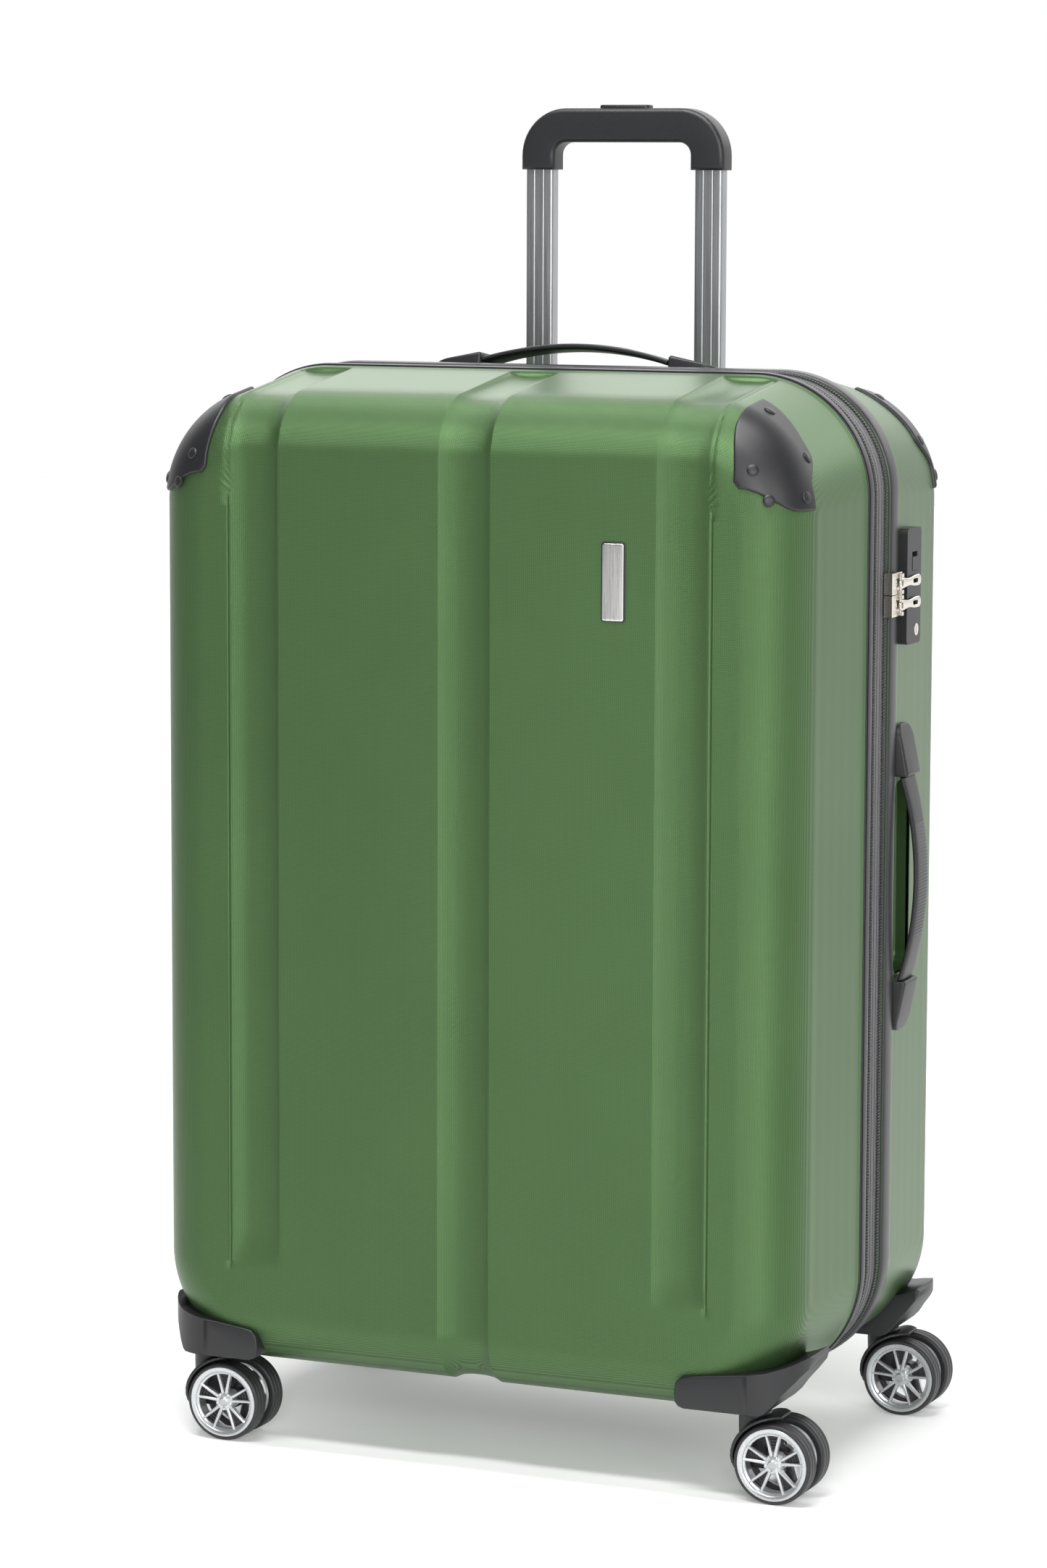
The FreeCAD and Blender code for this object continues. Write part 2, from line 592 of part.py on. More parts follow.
node("back_straps", straps("back_strap_pair", "back_rim + strap_set", "back_rim + strap_set + strap_thick"))
node("front_straps", straps("front_strap_pair", "-front_rim - strap_set - strap_thick",
                            "-front_rim - strap_set"))

# ---------------------------------------------------------------- corner guards and rivets

# Rivets on the rounded edge of a guard: the angle round the upper corner, from the side up to the
# top, and the angle round the edge, from the side out to the face.
EDGE_RIVETS = [(16, 60), (10.7, 18), (30, 0), (66, 0)]


def guards(half, side, rim):
    """The plates that wrap the two upper corners of a shell's face."""
    grown = tray(f"{half}_grown", side, rim, "guard_thick")
    skin = cut(f"{half}_guard_skin", grown, outside[half])
    blocks = []
    notches = []
    for sign in (-1, 1):
        blocks.append(mirrored_box(
            f"{half}_guard_block", sign, side,
            ("guard_top_edge", "guard_depth", "guard_low"),
            ("half_width + clearance", "face + clearance", "rim_top + clearance")))
        notches.append(mirrored_box(
            f"{half}_guard_side_notch", sign, side,
            ("guard_face_edge", "straight_end", "guard_low - over"),
            ("half_width + 2 * clearance", "guard_side", "guard_notch")))
        notches.append(mirrored_box(
            f"{half}_guard_face_notch", sign, side,
            ("guard_top_edge - over", "guard_side", "guard_low - over"),
            ("guard_face_edge", "face + 2 * clearance", "rim_top - clearance")))
        notches.append(mirrored_box(
            f"{half}_guard_fold_notch", sign, side,
            ("guard_top_edge - over", "guard_side", "guard_low - over"),
            ("guard_fold_edge", "face + 2 * clearance", "guard_face_low")))
    plates = cut(f"{half}_guard_plates", fuse(f"{half}_guard_blocks", *blocks),
                 fuse(f"{half}_guard_notches", *notches))
    return common(f"{half}_guards", plates, skin)


def edge_rivet(name, side, sign, climb, lean):
    """A post standing square to the guard, its place worked out as the shells' surface is."""
    level = f"(face - face_round * (1 - sin({lean})))"
    part = f"(({level} - straight_end) / (face - straight_end))"
    corner = f"(rim_corner - corner_taper * {part})"
    reach = f"({corner} - face_round * (1 - cos({lean})))"
    outward = Vector(
        sign * math.cos(math.radians(lean)) * math.cos(math.radians(climb)),
        side * math.sin(math.radians(lean)),
        math.cos(math.radians(lean)) * math.sin(math.radians(climb)),
    )
    post = rod(name, "z", "rivet_r", (0, 0, 0), "rivet_long")
    post.Placement = Placement(Vector(), Rotation(Vector(0, 0, 1), outward))
    put(post, (
        f"{sign} * (half_width - side_taper * {part} - {corner} + {reach} * cos({climb}))"
        f" - ({outward.x}) * over",
        f"{side} * {level} - ({outward.y}) * over",
        f"rim_top - top_taper * {part} - {corner} + {reach} * sin({climb}) - ({outward.z}) * over",
    ))
    return post


def rivets(half, side, rim):
    """Five low heads on each guard."""
    posts = []
    start = ordered(side, "face - over", "face - over + rivet_long")[0]
    for sign in (-1, 1):
        posts += [edge_rivet(f"{half}_rivet", side, sign, climb, lean) for climb, lean in EDGE_RIVETS]
        place = (f"{sign} * face_rivet_x", start, "face_rivet_z")
        posts.append(rod(f"{half}_face_rivet", "y", "rivet_r", place, "rivet_long"))
    seat = tray(f"{half}_rivet_seat", side, rim, "guard_thick")
    return cut(f"{half}_rivet_heads", fuse(f"{half}_rivet_posts", *posts), seat)


for half, (side, rim) in HALVES.items():
    node(f"{half}_corner_guards", guards(half, side, rim))
    node(f"{half}_guard_rivets", rivets(half, side, rim))

# ---------------------------------------------------------------- trolley


def tube(name, sign, grow, low, high):
    """A rectangular bar round a trolley tube's centre line."""
    half_wide = f"(tube_wide / 2 + ({grow}))"
    half_deep = f"(tube_deep / 2 + ({grow}))"
    return box(name, (f"{sign} * tube_x - {half_wide}", f"tube_y - {half_deep}", low),
               (f"{sign} * tube_x + {half_wide}", f"tube_y + {half_deep}", high))


inner_tubes = []
outer_tubes = []
sockets = []
rods = []
socket_top = "grip_base + socket_deep"
for sign in (-1, 1):
    inner = tube("inner_tube", sign, "0", "tube_foot", socket_top)
    bore = tube("inner_bore", sign, "-tube_wall", "tube_foot - over", f"{socket_top} + over")
    inner_tubes.append(cut("inner_tube_hollow", inner, bore))
    sleeve = tube("outer_tube", sign, "fit + sleeve_wall", "foot_top", "cup_floor - touch_gap")
    sleeve_bore = tube("outer_bore", sign, "fit", "foot_top - over", "cup_floor + over")
    outer_tubes.append(cut("outer_tube_hollow", sleeve, sleeve_bore))
    sockets.append(tube("grip_socket", sign, "running_gap", "grip_base - over",
                        f"{socket_top} + running_gap"))
    sockets.append(rod("rod_passage", "z", "rod_room", (f"{sign} * tube_x", "tube_y", f"{socket_top} - over"),
                       f"grip_under + bar_base - ({socket_top})"))
    rods.append(rod("release_rod", "z", "rod_r", (f"{sign} * tube_x", "tube_y", "tube_foot + rod_foot"),
                    "grip_under + bar_base - tube_foot - rod_foot"))
node("trolley_tubes", group("inner_tube_pair", *inner_tubes))
node("trolley_outer_tubes", group("outer_tube_pair", *outer_tubes))

# The grip: a bar with two short legs over the tubes, hollow for the button and its crossbar.
grip_blank = slab("grip_blank", "y", "tube_y - grip_deep", "tube_y + grip_deep", "-grip_half", "grip_half",
                  "grip_base - 2 * grip_corner", "grip_top", "grip_corner")
grip_skirt = box("grip_skirt",
                 ("-grip_half - over", "tube_y - grip_deep - over", "grip_base - 3 * grip_corner"),
                 ("grip_half + over", "tube_y + grip_deep + over", "grip_base"))
grip_gap = slab("grip_gap", "y", "tube_y - grip_deep - over", "tube_y + grip_deep + over",
                "-(tube_x - leg_half)", "tube_x - leg_half", "grip_base - grip_corner", "grip_under",
                "gap_corner")
bar_low = "grip_under + bar_base"
bar_top = f"{bar_low} + bar_high"
crossbar_room = box("crossbar_room",
                    ("-tube_x - bar_end - over", "tube_y - bar_deep - 2 * fit", f"{bar_low} - press"),
                    ("tube_x + bar_end + over", "tube_y + bar_deep + 2 * fit", f"{bar_top} + fit"))
button_room = box("button_room", ("-button_half - fit", "tube_y - button_deep - fit", f"{bar_top} - press"),
                  ("button_half + fit", "tube_y + button_deep + fit", "grip_top + over"))
grip_cuts = fuse("grip_cuts", grip_skirt, grip_gap, crossbar_room, button_room, *sockets)
node("trolley_grip", cut("grip_cut", grip_blank, grip_cuts))

node("trolley_button", box("button", ("-button_half", "tube_y - button_deep", bar_top),
                           ("button_half", "tube_y + button_deep", "grip_top + button_proud")))
crossbar = box("crossbar", ("-tube_x - bar_end", "tube_y - bar_deep", bar_low),
               ("tube_x + bar_end", "tube_y + bar_deep", bar_top))
node("release_rods", fuse("release_frame", crossbar, *rods))

# The cup that the grip drops into, with its rim just proud of the shell's top.
cup_block = box("cup_block", ("-cup_half", "cup_front", "cup_floor"),
                ("cup_half", "cup_back", "rim_top + clearance"))
cup_hollow = box("cup_hollow", ("-cup_half + cup_wall", "cup_front + cup_wall", "cup_floor + cup_wall"),
                 ("cup_half - cup_wall", "cup_back - cup_wall", "rim_top + 2 * clearance"))
cup_passages = [tube("cup_passage", sign, "fit", "cup_floor - over", "cup_floor + 2 * cup_wall")
                for sign in (-1, 1)]
cup_cuts = fuse("cup_cuts", cup_hollow, *cup_passages)
cup_trim = tray("cup_trim", 1, "back_rim", "cup_proud")
node("trolley_cup", common("cup_shaped", cut("cup_cut", cup_block, cup_cuts), cup_trim))

# The foot that holds the outer tubes' lower ends to the back wall.
foot = box("foot_block", ("-foot_half", "tube_y - foot_deep", "foot_low"),
           ("foot_half", "tube_y + foot_deep", "foot_top"))
back_tab = box("foot_tab", ("-foot_half", "tube_y + foot_deep", "foot_low"),
               ("foot_half", "face - wall - touch_gap", "tab_top"))
node("trolley_foot", fuse("trolley_foot_all", foot, back_tab))

# ---------------------------------------------------------------- carry handles

SIDE_SLOPE = math.degrees(math.atan(value_of("side_taper / (face - straight_end)")))
TOP_SLOPE = math.degrees(math.atan(value_of("top_taper / (face - straight_end)")))


def handle_frames():
    """Where each carry handle's own frame goes: length along x, outwards along z."""
    part = "(handle_y - straight_end) / (face - straight_end)"
    side_turn = Rotation(Vector(0, 0, 1), SIDE_SLOPE).multiply(Rotation(Vector(0, 1, 0), 90))
    top_turn = Rotation(Vector(1, 0, 0), -TOP_SLOPE)
    return {
        "side": (side_turn, (f"half_width - side_taper * {part}", "handle_y", "handle_mid")),
        "top": (top_turn, ("0", "handle_y", f"rim_top - top_taper * {part}")),
    }


def carry_grip(name):
    """An arched band with a tongue at each end."""
    radius = "((handle_half^2 + band_rise^2) / (2 * band_rise))"
    centre = f"band_foot + band_rise - {radius}"
    edge = "grip_band / 2"
    outer = rod(f"{name}_outer", "y", f"{radius} + band_thick / 2", (0, f"-{edge}", centre), "grip_band")
    inner = rod(f"{name}_inner", "y", f"{radius} - band_thick / 2", (0, f"-{edge} - over", centre),
                "grip_band + 2 * over")
    span = box(f"{name}_span", ("-handle_half + seam_gap", f"-{edge}", "over"),
               ("handle_half - seam_gap", edge, "grip_band"))
    arch = common(f"{name}_arch", cut(f"{name}_hoop", outer, inner), span)
    tongues = []
    for sign in (-1, 1):
        low, high = ordered(sign, "tongue_in", "tongue_out")
        tongues.append(box(f"{name}_tongue", (low, "-tongue_half", "tongue_low"),
                           (high, "tongue_half", "tongue_high")))
    return fuse(name, arch, *tongues)


def caps(name):
    """The two end caps, each with a slot that its tongue rises in."""
    solids = []
    for sign in (-1, 1):
        low, high = ordered(sign, "handle_half", "handle_half + cap_long")
        block = box(f"{name}_cap_block", (low, "-grip_band / 2", "-cap_sink"),
                    (high, "grip_band / 2", "cap_high"))
        low, high = ordered(sign, "tongue_in - over", "tongue_out + 2 * over")
        slot = box(f"{name}_cap_slot", (low, "-tongue_half - 1.5", "-cap_sink - over"),
                   (high, "tongue_half + 1.5", "cap_high - cap_roof"))
        bevel = doc.addObject("Part::Box", f"{name}_cap_bevel")
        bind(bevel, Length="cap_block", Width="cap_block", Height="cap_block")
        turn = Rotation(Vector(0, 1, 0), value_of("cap_slope") * sign)
        corner = turn.multVec(Vector((1 - sign) / 2, 0.5, 0))
        bevel.Placement = Placement(Vector(), turn)
        put(bevel, (f"{sign} * cap_bend - ({corner.x}) * cap_block", f"-({corner.y}) * cap_block",
                    f"cap_high - ({corner.z}) * cap_block"))
        solids.append(cut(f"{name}_cap", block, fuse(f"{name}_cap_cuts", slot, bevel)))
    return fuse(f"{name}_caps", *solids)


for name, (turn, place) in handle_frames().items():
    grip = carry_grip(f"{name}_carry_grip")
    grip.Placement = Placement(Vector(), turn)
    put(grip, place)
    node(f"{name}_handle_grip", grip)
    cap_pair = caps(name)
    cap_pair.Placement = Placement(Vector(), turn)
    put(cap_pair, place)
    node(f"{name}_handle_caps", cut(f"{name}_cap_pair", cap_pair, outside["back"]))

# ---------------------------------------------------------------- lock and zip sliders

lock_flange = slab("lock_flange", "x", "half_width - lock_sink", "lock_face", "lock_front", "lock_back",
                   "lock_low", "lock_high", "lock_round")
flange_seat = cut("lock_flange_seated", lock_flange, outside["back"])
lock_block = box("lock_block", ("half_width - lock_deep", lock_body["front"], lock_body["low"]),
                 ("half_width + over", lock_body["back"], lock_body["high"]))
lock_chamber = box("lock_chamber", ("half_width - lock_deep + chamber_wall", "chamber_front", "chamber_low"),
                   ("lock_face - chamber_wall", "chamber_back", "chamber_high"))
slots = []
for name, sign in (("upper", 1), ("lower", -1)):
    level = f"slider_meet + {sign} * slot_apart"
    slots.append(slab(f"{name}_pull_slot", "x", "lock_face - slot_deep", "lock_face + over", "slot_front",
                      "slot_back", f"{level} - slot_half", f"{level} + slot_half", "slot_corner"))
button_slot = box("latch_slot", ("lock_face - slot_deep", "latch_mid - latch_half - fit", "latch_low - fit"),
                  ("lock_face + over", "latch_mid + latch_half + fit", "latch_high + latch_run"))
key_bore = rod("key_bore", "x", "key_r + running_gap", ("half_width - clearance", "key_y", "key_z"),
               "2 * clearance")
lock_cuts = fuse("lock_cuts", lock_chamber, button_slot, key_bore, *slots)
lock_solid = fuse("lock_solid", flange_seat, lock_block)
node("lock_housing", cut("lock_cut", lock_solid, lock_cuts))

node("lock_button", box("latch_button", ("half_width - lock_sink", "latch_mid - latch_half", "latch_low"),
                        ("lock_face + latch_proud", "latch_mid + latch_half", "latch_high")))
node("latch_bar", box("latch_inner_bar", ("half_width - 2 * lock_sink", "latch_mid - bar_half", "bar_foot"),
                      ("half_width - lock_sink", "latch_mid + bar_half", "latch_high")))
key_body = rod("key_body", "x", "key_r", ("lock_face + key_proud - key_long", "key_y", "key_z"), "key_long")
keyway = box("keyway", ("lock_face - keyway_high", "key_y - keyway_half", "key_z - keyway_high"),
             ("lock_face + 2 * over", "key_y + keyway_half", "key_z + keyway_high"))
node("key_cylinder", cut("key_cylinder_cut", key_body, keyway))


def span_from_meeting(sense, near, far):
    """Two heights, each so far above the sliders' meeting line, or below it where sense is -1."""
    low, high = ordered(sense, near, far)
    return f"slider_meet + {low}", f"slider_meet + {high}"


def slider(name, sense):
    """A zip slider with a side plate and two ears for its pull. sense is 1 above the meeting line."""

    def piece(part, near, far, y_range, start, end):
        low, high = span_from_meeting(sense, start, end)
        return box(f"{name}_{part}", (f"half_width + {near}", f"main_zip + {y_range[0]}", low),
                   (f"half_width + {far}", f"main_zip + {y_range[1]}", high))

    body = piece("body", "slider_in", "slider_out", ("-slider_half", "slider_half"), "zip_gap", "slider_long")
    plate = piece("plate", "plate_in", "plate_out", ("slider_half", "plate_end"), "zip_gap", "slider_long")
    ear_span = ("ear_in", "ear_out")
    ears = [
        piece("near_ear", "plate_out", "ear_top", ear_span, "ear_edge", "ear_edge + ear_high"),
        piece("far_ear", "plate_out", "ear_top", ear_span, "slider_long - ear_edge - ear_high",
              "slider_long - ear_edge"),
    ]
    low, high = span_from_meeting(sense, "ear_edge + fit", "slider_long - ear_edge - fit")
    pin = rod(f"{name}_pin", "z", "pin_r", ("half_width + pin_x", "main_zip + pin_y", low),
              f"{high} - ({low})")
    return fuse(name, body, plate, *ears, pin)


def pull(name, sense):
    """The puller: an eye on the slider's pin and an arm that reaches over the lock's slot."""
    x, y = "half_width + pin_x", "main_zip + pin_y"
    low, high = span_from_meeting(sense, "eye_start", "eye_end")
    eye = rod(f"{name}_eye", "z", "eye_r", (x, y, low), f"{high} - ({low})")
    bore = rod(f"{name}_bore", "z", "pin_r + running_gap", (x, y, f"{low} - over"),
               f"{high} - ({low}) + 2 * over")
    low, high = span_from_meeting(sense, "arm_start", "arm_end")
    arm = box(f"{name}_arm", (f"{x} - arm_half + touch_gap", y, low),
              (f"{x} + arm_half + touch_gap", "main_zip + arm_reach", high))
    return cut(name, fuse(f"{name}_solid", eye, arm), bore)


for name, sense in (("upper", 1), ("lower", -1)):
    node(f"{name}_zip_slider", slider(f"{name}_slider", sense))
    node(f"{name}_zip_pull", pull(f"{name}_pull", sense))

node("nameplate", slab("badge", "y", "-face - badge_proud", "-face - running_gap", "badge_left",
                       "badge_right", "badge_low", "badge_high", "badge_corner"))

# ---------------------------------------------------------------- casters

CORNERS = {"fl": (-1, -1), "fr": (1, -1), "bl": (-1, 1), "br": (1, 1)}
SPOKE_PAIRS = 5
SPOKE_LEAN = 14


def housing(name, sx, sy):
    """The moulding that wraps a lower corner and holds a caster's stem.

    It is what three rounded slabs share, less the shell: one gives its inner end, one its rounded
    lower corner and one the rounded upright corner that it follows.
    """
    inner, outer = ordered(sx, "housing_inner", "far")
    left, right = ordered(sx, "-far", "housing_outer")
    near, out = ordered(sy, "housing_front", "face + housing_proud")
    front, back = ordered(sy, "-far", "face + housing_proud")
    end = slab(f"{name}_end", "y", near, out, inner, outer, "housing_base", "housing_top", "housing_end")
    lower = slab(f"{name}_lower", "y", near, out, left, right, "housing_base", "far", "housing_low")
    upright = slab(f"{name}_upright", "z", "housing_base - over", "housing_top + over", left, right, front,
                   back, "housing_side")
    block = common(f"{name}_block", common(f"{name}_wrap", end, lower), upright)
    seated = cut(f"{name}_seated", block, outside["back" if sy > 0 else "front"])
    bore = rod(f"{name}_bore", "z", "stem_r + running_gap",
               (f"{sx} * swivel_x", f"{sy} * swivel_y - swivel_shift", "housing_base - over"),
               "stem_in + over + fit")
    return cut(name, seated, bore)


def fork(name, sx, sy):
    """Neck, swivel stem and centre web, with the axle pressed through it as a second solid."""
    x, y = f"{sx} * swivel_x", f"({sy} * swivel_y - swivel_shift)"
    axle_x = f"{x} + trail"
    neck = rod(f"{name}_neck", "z", "neck_r", (x, y, "neck_low"), "housing_base - housing_gap - neck_low")
    stem = rod(f"{name}_stem", "z", "stem_r", (x, y, "housing_base - housing_gap"), "stem_in")
    room_deep = "(wheel_out - wheel_in + 2 * wheel_room + clearance)"
    room = [rod(f"{name}_room", "y", "tyre_r + wheel_room", (axle_x, f"{y} + {start}", "tyre_r"), room_deep)
            for start in ("wheel_in - wheel_room", f"(wheel_room - wheel_in - {room_deep})")]
    web = box(f"{name}_web", (f"{x} - web_back", f"{y} - web_half", "web_low"),
              (axle_x, f"{y} + web_half", "web_high"))
    boss = rod(f"{name}_boss", "y", "boss_r", (axle_x, f"{y} - web_half", "tyre_r"), "2 * web_half")
    bore = rod(f"{name}_axle_bore", "y", "axle_r", (axle_x, f"{y} - web_half - over", "tyre_r"),
               "2 * (web_half + over)")
    solid = cut(f"{name}_solid", fuse(f"{name}_blank", neck, stem, web, boss),
                fuse(f"{name}_cuts", *room, bore))
    axle = rod(f"{name}_axle", "y", "axle_r", (axle_x, f"{y} - wheel_out + axle_short", "tyre_r"),
               "2 * (wheel_out - axle_short)")
    return group(name, solid, axle)


def tyre(name, x, y_in, y_out):
    """A ring with rounded shoulders, revolved about its axle."""
    body = doc.addObject("PartDesign::Body", name)
    sketch = sketch_on(body, f"{name}_section", "x", x)
    rounded_rectangle(sketch, y_in, y_out, "tyre_r + rim_r", "2 * tyre_r", "tyre_edge")
    axis = body.newObject("PartDesign::Line", f"{name}_axis")
    turn = Rotation(Vector(1, 0, 0), -90)
    axis.Placement = Placement(Vector(), turn)
    axis.setExpression(".Placement.Base.x", bound(x))
    axis.setExpression(".Placement.Base.z", bound("tyre_r"))
    revolution = body.newObject("PartDesign::Revolution", f"{name}_turned")
    revolution.Profile = sketch
    revolution.ReferenceAxis = (axis, [""])
    revolution.Angle = 360
    return body


def rim(name, x, y_in, y_out, out):
    """A wheel centre: a ring, a hub with its axle bore, and five pairs of spokes near the outer side."""
    width = f"({y_out}) - ({y_in})"
    before = f"({y_in}) - over"
    through = f"{width} + 2 * over"
    whole = rod(f"{name}_ring_out", "y", "rim_r - running_gap", (x, y_in, "tyre_r"), width)
    window = rod(f"{name}_ring_in", "y", "rim_r - rim_wall", (x, before, "tyre_r"), through)
    ring_part = cut(f"{name}_ring", whole, window)
    hub = rod(f"{name}_hub", "y", "hub_r", (x, y_in, "tyre_r"), width)
    spoke_level = f"({y_out}) - spoke_set - spoke_deep" if out > 0 else f"({y_in}) + spoke_set"
    spokes = []
    for pair in range(SPOKE_PAIRS):
        for lean in (-SPOKE_LEAN, SPOKE_LEAN):
            spoke = doc.addObject("Part::Box", f"{name}_spoke")
            bind(spoke, Length="spoke_long", Width="spoke_deep", Height="spoke_wide")
            spin = Rotation(Vector(0, 1, 0), -(90 + 360 / SPOKE_PAIRS * pair + lean))
            along = spin.multVec(Vector(1, 0, 0))
            across = spin.multVec(Vector(0, 0, 0.5))
            spoke.Placement = Placement(Vector(), spin)
            put(spoke, (
                f"{x} + ({along.x}) * spoke_from - ({across.x}) * spoke_wide",
                spoke_level,
                f"tyre_r + ({along.z}) * spoke_from - ({across.z}) * spoke_wide",
            ))
            spokes.append(spoke)
    bore = rod(f"{name}_axle_bore", "y", "axle_r + running_gap", (x, before, "tyre_r"), through)
    return cut(name, fuse(f"{name}_solid", ring_part, hub, *spokes), bore)


for corner, (sx, sy) in CORNERS.items():
    node(f"caster_housing_{corner}", housing(f"housing_{corner}", sx, sy))
    node(f"caster_fork_{corner}", fork(f"fork_{corner}", sx, sy))
    axle_x = f"{sx} * swivel_x + trail"
    middle = f"{sy} * swivel_y - swivel_shift"
    for place, out in (("front", -1), ("back", 1)):
        near, far = ordered(out, "wheel_in", "wheel_out")
        low, high = f"{middle} + {near}", f"{middle} + {far}"
        node(f"tyre_{corner}_{place}", tyre(f"tyre_{corner}_{place}_body", axle_x, low, high))
        node(f"rim_{corner}_{place}", rim(f"rim_{corner}_{place}_solid", axle_x, low, high, out))

# ---------------------------------------------------------------- checks and export

doc.recompute()

failed = [thing.Name for thing in doc.Objects if {"Invalid", "Error"} & set(thing.State)]
if failed:
    raise SystemExit(f"these objects did not compute: {failed}")
for label, thing in nodes.items():
    shape = thing.Shape
    if shape.isNull() or not shape.isValid() or shape.Volume < 1:
        raise SystemExit(f"{label} has no valid shape")
if len(nodes) > 60:
    raise SystemExit(f"{len(nodes)} sub-parts is too many")

os.makedirs("parts", exist_ok=True)
whole = FreeCAD.BoundBox()
for label, thing in nodes.items():
    thing.Shape.exportStep(f"parts/{label}.step")
    whole.add(thing.Shape.BoundBox)
print(len(nodes), "sub-parts, box", whole)
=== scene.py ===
import math

import bmesh
import bpy
from mathutils import Matrix, Vector
from mathutils.noise import noise as noise_at


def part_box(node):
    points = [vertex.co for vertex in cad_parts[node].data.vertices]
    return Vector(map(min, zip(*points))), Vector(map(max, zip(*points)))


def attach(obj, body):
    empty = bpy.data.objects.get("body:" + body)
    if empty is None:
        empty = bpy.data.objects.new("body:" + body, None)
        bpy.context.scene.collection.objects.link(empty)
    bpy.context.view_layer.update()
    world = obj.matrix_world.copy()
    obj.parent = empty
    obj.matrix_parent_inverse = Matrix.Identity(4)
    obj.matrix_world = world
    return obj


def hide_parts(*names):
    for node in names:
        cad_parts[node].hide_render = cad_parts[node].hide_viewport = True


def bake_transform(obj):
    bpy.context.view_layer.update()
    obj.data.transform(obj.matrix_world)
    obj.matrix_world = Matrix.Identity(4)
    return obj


# Looks for a hard shell suitcase on four twin-wheel casters.
# Shapes are worked out in millimetres in the case's own frame: x from the middle of the case to the
# right, y to the back and z up from the floor. shift() turns that into the row's frame in metres.

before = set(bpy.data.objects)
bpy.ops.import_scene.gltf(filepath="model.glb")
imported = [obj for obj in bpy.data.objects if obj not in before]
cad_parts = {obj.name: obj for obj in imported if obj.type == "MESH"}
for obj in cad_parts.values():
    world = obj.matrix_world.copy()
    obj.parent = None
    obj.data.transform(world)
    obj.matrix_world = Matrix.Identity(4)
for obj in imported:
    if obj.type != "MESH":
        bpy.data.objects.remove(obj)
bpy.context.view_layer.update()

MM = 0.001


def box_mm(node):
    low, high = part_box(node)
    return [c / MM for c in low], [c / MM for c in high]


# Driving sizes read from the frame.
SHELL_LOW, SHELL_HIGH = box_mm("front_shell")
MID_X = (SHELL_LOW[0] + SHELL_HIGH[0]) / 2
HALF = (SHELL_HIGH[0] - SHELL_LOW[0]) / 2
BOTTOM = SHELL_LOW[2]
TOP = SHELL_HIGH[2]
FACE = -SHELL_LOW[1]
RIM = {"front": -SHELL_HIGH[1], "back": box_mm("back_shell")[0][1]}
SIDE = {"front": -1, "back": 1}

# The shells' own proportions, the same as the CAD's.
STRAIGHT_END = 30.0
SIDE_TAPER = 6.2
TOP_TAPER = 17.8
BOTTOM_TAPER = 2.0
CORNER = 82.0
CORNER_TAPER = 7.0
FACE_ROUND = 38.0
WALL = 2.4


def case_box(node):
    """A CAD node's corners in the case's frame."""
    low, high = box_mm(node)
    return (low[0] - MID_X, low[1], low[2]), (high[0] - MID_X, high[1], high[2])


def shift(point):
    x, y, z = point
    return ((x + MID_X) * MM, y * MM, z * MM)


def ramp(low, high, value):
    """0 below low, 1 above high, smooth between them."""
    t = min(1.0, max(0.0, (value - low) / (high - low)))
    return t * t * (3 - 2 * t)


def mix(a, b, t):
    return a + (b - a) * t


# ---------------------------------------------------------------- materials

materials = {}


def nodes_of(material):
    return material.node_tree.nodes, material.node_tree.links


def new_material(name, color, rough, metal=0.0, **sockets):
    """A Principled material whose plain values are set on its own sockets."""
    material = bpy.data.materials.new(name)
    material.use_nodes = True
    shader = material.node_tree.nodes["Principled BSDF"]
    shader.inputs["Base Color"].default_value = (*color, 1)
    shader.inputs["Roughness"].default_value = rough
    shader.inputs["Metallic"].default_value = metal
    for socket, value in sockets.items():
        shader.inputs[socket.replace("_", " ")].default_value = value
    materials[name] = material
    return material


def math_node(material, operation, a, b=None, c=None):
    nodes, links = nodes_of(material)
    node = nodes.new("ShaderNodeMath")
    node.operation = operation
    for index, value in enumerate((a, b, c)):
        if value is None:
            continue
        if isinstance(value, (int, float)):
            node.inputs[index].default_value = value
        else:
            links.new(value, node.inputs[index])
    return node.outputs[0]


def place_sockets(material, scale=(1, 1, 1)):
    """The piece's own coordinates, scaled, as a vector and as x, y and z."""
    nodes, links = nodes_of(material)
    coordinates = nodes.new("ShaderNodeTexCoord")
    mapping = nodes.new("ShaderNodeMapping")
    mapping.inputs["Scale"].default_value = scale
    links.new(coordinates.outputs["Object"], mapping.inputs["Vector"])
    split = nodes.new("ShaderNodeSeparateXYZ")
    links.new(mapping.outputs["Vector"], split.inputs["Vector"])
    return mapping.outputs["Vector"], split.outputs


def noise(material, scale, detail=3.0, stretch=(1, 1, 1)):
    nodes, links = nodes_of(material)
    vector, _ = place_sockets(material, stretch)
    texture = nodes.new("ShaderNodeTexNoise")
    texture.inputs["Scale"].default_value = scale
    texture.inputs["Detail"].default_value = detail
    links.new(vector, texture.inputs["Vector"])
    return texture.outputs["Fac"]


def add_bump(material, height, distance, strength=1.0):
    nodes, links = nodes_of(material)
    bump = nodes.new("ShaderNodeBump")
    bump.inputs["Distance"].default_value = distance
    bump.inputs["Strength"].default_value = strength
    links.new(height, bump.inputs["Height"])
    links.new(bump.outputs["Normal"], nodes["Principled BSDF"].inputs["Normal"])


def add_tint(material, factor, dark, light, low=0.3, high=0.7):
    """Base colour between two tones by a factor."""
    nodes, links = nodes_of(material)
    tones = nodes.new("ShaderNodeValToRGB")
    tones.color_ramp.elements[0].position = low
    tones.color_ramp.elements[0].color = (*dark, 1)
    tones.color_ramp.elements[1].position = high
    tones.color_ramp.elements[1].color = (*light, 1)
    links.new(factor, tones.inputs["Fac"])
    links.new(tones.outputs["Color"], nodes["Principled BSDF"].inputs["Base Color"])


